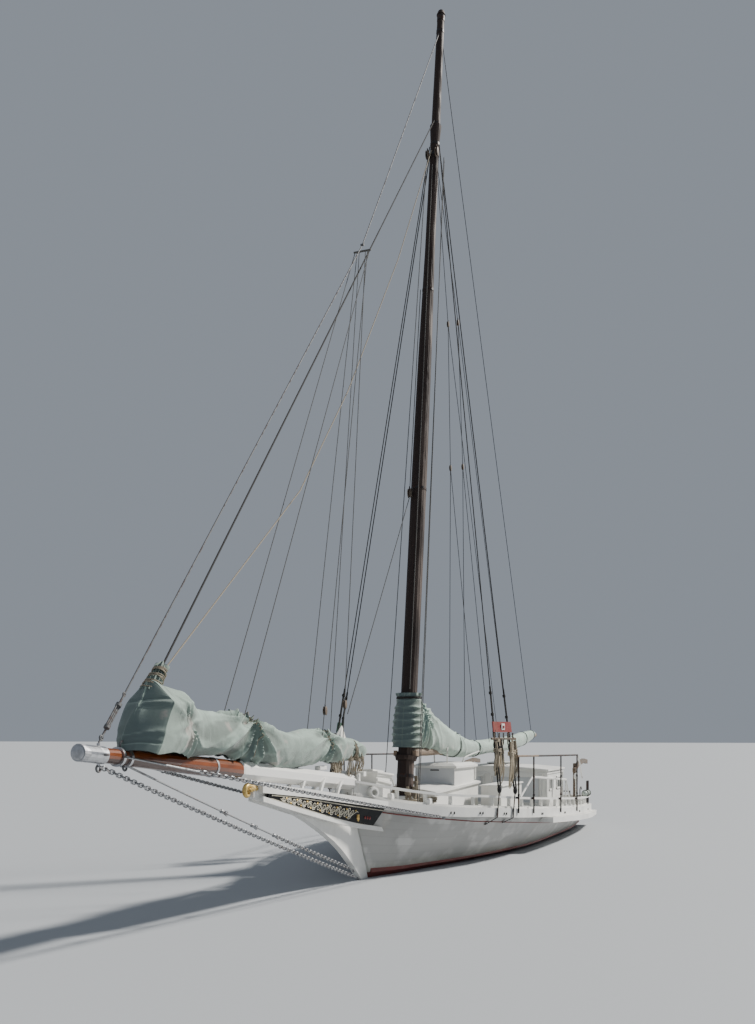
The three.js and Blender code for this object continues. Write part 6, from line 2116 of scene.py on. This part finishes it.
def cabin_front():
    """Two grey panels, painted shade on the cabin's front, and their white frames."""
    ahead = CABIN_FRONT - 0.01
    panel = timber(at(ahead, PANEL_SIDE - 0.6, PANEL_HEIGHT), at(ahead, PANEL_SIDE + 0.6, PANEL_HEIGHT), 0.02, 0.66)
    ahead = CABIN_FRONT - 0.018
    frames = [timber(at(ahead, PANEL_SIDE - 0.7, level), at(ahead, PANEL_SIDE + 0.7, level), 0.03, 0.08)
              for level in PANEL_RAILS]
    frames += [timber(*at(ahead, PANEL_SIDE + side, PANEL_RAILS), 0.03, 0.08, AHEAD) for side in (-0.66, 0.66)]
    return both_sides(panel), both_sides(joined(frames))


def cabin_windows():
    """Frames with a middle bar, and their panes, on the cabin's sides."""
    frames, panes = [], []
    level = (WINDOW_SILL + WINDOW_HEAD) / 2
    for start in WINDOWS:
        end, middle = start + WINDOW_LENGTH, start + WINDOW_LENGTH / 2
        frames.append(frame_on_side(start, end, WINDOW_SILL, WINDOW_HEAD, CABIN_HALF + 0.01, 0.045, 0.03))
        frames.append(timber(*at(middle, CABIN_HALF - 0.01, (WINDOW_SILL, WINDOW_HEAD)), 0.02, 0.02, AHEAD))
        panes.append(timber(*at((start - 0.01, end + 0.01), CABIN_HALF - 0.025, level), 0.008, 0.28))
    return both_sides(joined(frames)), both_sides(joined(panes))


def winder_front():
    """A grey front panel, painted shade on the tall box's front, and the black slot at its top, painted shade in the
    opening.
    """
    slot = at(WINDER_FRONT - 0.004, 0.0, 1.81)
    return (timber(*at(WINDER_FRONT, (-0.452, 0.452), 1.69), 0.016, 0.4),
            slab(slot + [-0.004, -0.1, -0.012], slot + [0.012, 0.1, 0.012], 0.003))


def winder_pipes():
    """Pale pipes that rise over the tall box and lean aft, with one along it."""
    start = at(4.75, 0.2, 1.95)
    paths = [
        start + np.array([[0.0, 0.0, 0.0], [0.0, 0.0, 0.34], [-0.5, -0.1, 0.62]]),
        start + np.array([[-0.2, -0.36, 0.0], [-0.2, -0.36, 0.3], [-0.62, -0.36, 0.56]]),
        [at(5.6, 0.3, 1.96), at(5.7, 0.35, 2.08), at(6.5, 0.45, 2.2)],
    ]
    return joined([tube(smoothed(path, 14), 0.016, 8) for path in paths])


class SKIPJACK_OT_houses(bpy.types.Operator):
    """Trim the houses with mouldings, panels, windows and pipes"""

    bl_idname = "skipjack.houses"
    bl_label = "Houses"

    def execute(self, context):
        panels, frames = cabin_front()
        window_frames, panes = cabin_windows()
        panel, slot = winder_front()
        piece("house_mouldings", joined([house_mouldings(), frames, window_frames]), "white")
        # Grey panels: painted shade on the fronts of the cabin and the tall box
        piece("house_panels", joined([panels, panel]), "panel")
        piece("cabin_panes", panes, "pane")
        # A black slab: painted shade inside the slot
        piece("winder_slot", slot, "black")
        piece("winder_pipes", winder_pipes(), "white")
        piece("bench_lids", both_sides(timber(*BENCH_LID, 0.54, 0.03)), "white")
        piece("hatch_runners", both_sides(timber(*HATCH_RUNNER, 0.04, 0.035)), "bare")
        return {"FINISHED"}


# Safety rails and the gear at the quarters

# Stations of the safety rail's posts, parts of their height at which their collars sit, heights of the rail at
# the first and the last, its distance outboard of the sheer, and how many of its steps are timber
SAFETY_STATIONS = (3.7, 4.52, 6.7, 8.8)
SAFETY_COLLARS = (0.3, 0.62)
SAFETY_HEIGHTS = (2.145, 2.085)
SAFETY_OUT = 0.078
TIMBER_STEPS = 5
# Station and height over the cap of the inner pipe rail's corners, and stations of its posts
PIPE_RAIL = ((4.05, 0.0), (4.75, 0.44), (6.3, 0.44), (7.85, 0.44), (8.3, 0.0))
PIPE_POSTS = (4.85, 6.3, 7.8)
# Stations of the quarters' iron posts; station, half length and radius of the fender; and the steps along it at
# which its lashings sit
QUARTER_POSTS = (11.9, 12.35)
FENDER_STATION = 11.45
FENDER_HALF = 0.33
FENDER_RADIUS = 0.085
LASHING_STEPS = (4, 5, 12, 19, 20)
# Radius and height of the white post at the quarter
QUARTER_POST = ((0.0, 0.66), (0.05, 0.64), (0.07, 0.58), (0.06, 0.5), (0.03, 0.46), (0.026, 0.0), (0.0, 0.0))
# Names and finishes of the pieces at the quarters
QUARTER_NAMES = (("quarter_posts", "iron"), ("quarter_pipes", "white"), ("fenders", "rubber"),
                 ("fender_lashings", "tarred"))


def safety_bar(station, rise=0.0):
    """Points on the port safety rail at stations, moved up."""
    height = np.interp(station, (SAFETY_STATIONS[0], SAFETY_STATIONS[-1]), SAFETY_HEIGHTS) + rise
    return at(station, sheer_at(station)[0] + SAFETY_OUT, height)


def cap_top(station, rise=0.0):
    """A place over the middle of the rail's cap."""
    half, height = sheer_at(station)
    return at(station, half - 0.03, height + DECK_TOP + RAIL_HEIGHT + rise)


def safety_pieces():
    """Posts with feet and collars, a bar of timber forward and of pipe aft, and the pale inner pipe rail."""
    posts = []
    for station in SAFETY_STATIONS:
        half, height = sheer_at(station)
        foot, top, cap = at(station, half + SAFETY_OUT, height - 0.02), safety_bar(station), cap_top(station)
        posts.append(rod(foot, top, 0.017, 12))
        for level in SAFETY_COLLARS:
            place = foot + (top - foot) * level
            posts.append(rod(place, place + [0, 0, 0.04], 0.024, 12))
        posts.append(slab(cap + [-0.03, 0.06, -0.045], cap + [0.03, 0.12, 0.0], 0.004))
    bar = safety_bar(np.linspace(SAFETY_STATIONS[0] - 0.06, SAFETY_STATIONS[-1] + 0.06, 24))
    posts.append(tube(bar[TIMBER_STEPS:], 0.021, 12))
    corners = [cap_top(*corner) for corner in PIPE_RAIL]
    pipes = [rod(a, b, 0.02, 10) for a, b in zip(corners[:-1], corners[1:])]
    pipes += [ball(corner, 0.022, 1.0, UP, 12) for corner in corners[1:-1]]
    pipes += [rod(cap_top(station), cap_top(station, PIPE_RAIL[1][1]), 0.015, 8) for station in PIPE_POSTS]
    return joined(posts), sweep(bar[:TIMBER_STEPS + 1], chamfered(0.044, 0.04, 0.008)), joined(pipes)


def quarter_pieces():
    """Iron posts and a curved pipe at each quarter, a pale strut and post, and a fender lashed on the rail."""
    posts = [rod(cap_top(station, -0.3) + [0, 0.02, 0], cap_top(station, 0.42) + [0, 0.02, 0], 0.026, 10)
             for station in QUARTER_POSTS]
    bent = smoothed([cap_top(10.1), cap_top(10.1, 0.2), cap_top(10.3, 0.27), cap_top(10.45, 0.2)], 16)
    strut = smoothed([safety_bar(8.86), safety_bar(9.05, -0.06), cap_top(10.4, 0.62), cap_top(10.6, 0.5)], 20)
    white_post = lathe(QUARTER_POST, cap_top(12.1, -0.02) - [0.0, 0.3, 0.0], UP, 20)
    part = np.linspace(-1.0, 1.0, 25)
    path = cap_top(FENDER_STATION) + np.stack([-FENDER_HALF * part, np.full(25, 0.03), np.full(25, 0.08)], 1)
    fender = tube(path, FENDER_RADIUS * np.clip(1 - part ** 8, 0.06, 1.0), 16)
    lashing = joined([ring(path[step], AHEAD, FENDER_RADIUS + 0.005, 0.008, 20, 6) for step in LASHING_STEPS])
    return joined([*posts, tube(bent, 0.014, 8)]), joined([tube(strut, 0.018, 10), white_post]), fender, lashing


class SKIPJACK_OT_side_gear(bpy.types.Operator):
    """Put up the safety rails, and the posts and fenders at the quarters"""

    bl_idname = "skipjack.side_gear"
    bl_label = "Side gear"

    def execute(self, context):
        posts, bar, pipes = safety_pieces()
        for label, side in SIDES:
            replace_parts(piece(f"safety_posts_{label}", on_side(posts, side), "iron"), f"safety_rail_{label}")
            piece(f"safety_bar_{label}", on_side(bar, side), "bare")
        piece("pipe_rails", both_sides(pipes), "white")
        for (name, material), shape in zip(QUARTER_NAMES, quarter_pieces()):
            piece(name, both_sides(shape), material)
        return {"FINISHED"}


# Ropes hung in the shrouds, and the sidelights

def shroud_point(row, height, side=1.0):
    """A point on a shroud's wire at a height."""
    lower, upper = shroud_ends(row)
    part = (height - lower[2]) / (upper[2] - lower[2])
    return (lower + (upper - lower) * part) * [1.0, side, 1.0]


# Names and finishes of the coils' three tones, and shroud, height, drop, tone and distance aft of each coil
COIL_TONES = (("pale", "rope"), ("brown", "pale"), ("dark", "tarred"))
SHROUD_COILS = (
    (0, 2.5, 0.85, 1, 0.02), (1, 2.48, 0.95, 1, 0.02), (0, 2.46, 0.7, 0, -0.12), (0, 2.5, 0.6, 2, 0.17),
    (1, 2.46, 0.8, 0, 0.22), (1, 2.44, 0.95, 1, -0.16), (0, 2.48, 0.9, 1, 0.26), (0, 2.44, 0.4, 2, -0.04),
)


# Height of the pin bars and of the sidelights; parts of the way aft between the shrouds at which the pins
# stand, and a pin's radii
PIN_BAR_HEIGHT = 2.5
SIDELIGHT_HEIGHT = 2.74
PIN_PARTS = (-0.15, 0.2, 0.5, 0.8, 1.15)
PIN_SIZES = (0.01, 0.013, 0.02, 0.015, 0.018)


def shroud_coils(radius):
    """Bundles of rope that hang from pins across the shrouds, in three tones."""
    tones = [[], [], []]
    for side in (1.0, -1.0):
        for number, (row, height, drop, tone, step) in enumerate(SHROUD_COILS):
            top = shroud_point(SHROUDS[row], height, side) + [-step, 0.03 * side, 0.0]
            tones[tone].append(hung_coil(top, [0.25, side, 0.0], drop, 6, radius, 70 + number))
    return [joined(shapes) for shapes in tones]


def pin_bars():
    """A timber lashed across each pair of shrouds, with pins through it."""
    ahead, behind = (shroud_point(row, PIN_BAR_HEIGHT) + [0, 0.03, 0] for row in SHROUDS)
    run = unit(behind - ahead)
    shapes = [timber(ahead - run * 0.2, behind + run * 0.22, 0.03, 0.045)]
    for part in PIN_PARTS:
        place = ahead + (behind - ahead) * part
        pin = straight(place - [0, 0, 0.12], place + [0, 0, 0.12], 5)
        shapes.append(tube(pin, PIN_SIZES, 8))
    return both_sides(joined(shapes))


def lamp_shapes():
    """A plain pale square in the middle of each sidelight's board, and a lens on it."""
    plates, lenses = [], []
    for side in (1.0, -1.0):
        ahead, behind = (shroud_point(row, SIDELIGHT_HEIGHT, side) for row in SHROUDS)
        middle = (ahead + behind) / 2 + [0.0, 0.045 * side, 0.0]
        run = unit((behind - ahead) * [1.0, 1.0, 0.0])
        front = middle + [0, 0.012 * side, 0]
        plates.append(timber(middle - run * 0.065, middle + run * 0.065, 0.016, 0.13))
        lenses.append(timber(front - run * 0.03, front + run * 0.03, 0.016, 0.06))
    return joined(plates), joined(lenses)


class SKIPJACK_OT_shroud_gear(bpy.types.Operator):
    """Hang ropes in coils in the shrouds and fit the sidelights' plates"""

    bl_idname = "skipjack.shroud_gear"
    bl_label = "Shroud gear"

    def execute(self, context):
        rig = context.scene.skipjack_rig
        for (name, material), shape in zip(COIL_TONES, shroud_coils(rig.rope_radius)):
            piece(f"shroud_coils_{name}", shape, material)
        piece("pin_bars", pin_bars(), "block")
        plates, lenses = lamp_shapes()
        piece("sidelight_plates", plates, "white")
        piece("sidelight_lenses", lenses, "red")
        return {"FINISHED"}


# Gear about the after end of the jib's club

def peak_grid():
    """The clew of the sail, standing out of its cover: a cone of folded cloth that leans aft."""
    part = np.linspace(0.0, 1.0, 30)[:, None]
    turn = np.linspace(2.9, -2.9, 61)[None, :]
    folds = 0.02 * crease(turn * 7.0 + 2.0 * noise(turn * 1.1 + 3, part * 2.0, 131)) * (1 - part)
    spread = (0.15 * (1 - part) ** 0.8 + folds + 0.004)[..., None]
    middle = at(-0.86 + 0.1 * part, 0.0, 2.46 + 0.27 * part)
    return *round_grid(turn, part * 0.3, middle, 1.2 * spread * AHEAD, 0.6 * spread * ACROSS, 0.1), folds


# Shares of the way up the lazy jacks' second and third leg at which their blocks hang
JACK_BLOCK_SHARES = (0.07, 0.09)
# Station and drop of the loops under the club's after end
CLUB_LOOPS = ((-1.05, 0.3), (-0.62, 0.42), (-0.3, 0.45), (-0.12, 0.36))


def club_cords(radius):
    """Ends of rope in long loops under the club's after end, and turns round its tied end."""
    shapes = [hung_coil(at(station, 0.06, 2.26), [0.2, 1.0, 0.0], drop, 4, radius * 0.8, 90 + number)
              for number, (station, drop) in enumerate(CLUB_LOOPS)]
    shapes.append(tube(coil_path(at(-0.34, 0.0, 2.3), AHEAD, 0.15, 0.12, 4.0, 0.05), radius * 0.9, 6, AHEAD))
    return joined(shapes)


class SKIPJACK_OT_club_gear(bpy.types.Operator):
    """Leave the clew standing out of the jib's cover, and hang cords and blocks about it"""

    bl_idname = "skipjack.club_gear"
    bl_label = "Club gear"

    def execute(self, context):
        rig = context.scene.skipjack_rig
        cloth_piece("jib_clew_cloth", peak_grid(), "jib_club", None,
                    "sail")
        piece("club_cords", club_cords(rig.rope_radius), "rope", "jib_club")
        legs = jib_jack_legs(1.0)[1:]
        places = [foot + (top - foot) * share for (top, foot), share in zip(legs, JACK_BLOCK_SHARES)]
        add_blocks("jack_blocks", places, rig.block_length * 0.75, "jib_club")
        return {"FINISHED"}


# The panel and the list of operators

OPERATORS = [
    SKIPJACK_OT_stage, SKIPJACK_OT_finishes, SKIPJACK_OT_hull, SKIPJACK_OT_bow_chains, SKIPJACK_OT_head,
    SKIPJACK_OT_sail_covers, SKIPJACK_OT_shrouds, SKIPJACK_OT_running_rigging, SKIPJACK_OT_mast_gear,
    SKIPJACK_OT_deck_gear, SKIPJACK_OT_houses, SKIPJACK_OT_side_gear, SKIPJACK_OT_shroud_gear,
    SKIPJACK_OT_club_gear,
]
GROUPS = {
    "skipjack_paint": SkipjackPaint, "skipjack_rig": SkipjackRig, "skipjack_hull": SkipjackHull,
    "skipjack_stage": SkipjackStage,
}


class SKIPJACK_PT_panel(bpy.types.Panel):
    """Settings of the skipjack and a button for each of its groups of pieces"""

    bl_idname = "SKIPJACK_PT_panel"
    bl_label = "Skipjack"
    bl_space_type = "VIEW_3D"
    bl_region_type = "UI"
    bl_category = "Skipjack"

    def draw(self, context):
        for name in GROUPS:
            group = getattr(context.scene, name)
            box = self.layout.box()
            for label in group.__annotations__:
                box.prop(group, label)
        for operator in OPERATORS:
            self.layout.operator(operator.bl_idname)


def register():
    for group in GROUPS.values():
        bpy.utils.register_class(group)
    for name, group in GROUPS.items():
        setattr(bpy.types.Scene, name, PointerProperty(type=group))
    for operator in OPERATORS:
        bpy.utils.register_class(operator)
    bpy.utils.register_class(SKIPJACK_PT_panel)


def unregister():
    bpy.utils.unregister_class(SKIPJACK_PT_panel)
    for operator in reversed(OPERATORS):
        bpy.utils.unregister_class(operator)
    for name, group in GROUPS.items():
        delattr(bpy.types.Scene, name)
        bpy.utils.unregister_class(group)


def main():
    """Registers the add-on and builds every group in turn."""
    register()
    make_effects()
    for operator in OPERATORS:
        group, call = operator.bl_idname.split(".")
        getattr(getattr(bpy.ops, group), call)()


if __name__ == "__main__":
    main()
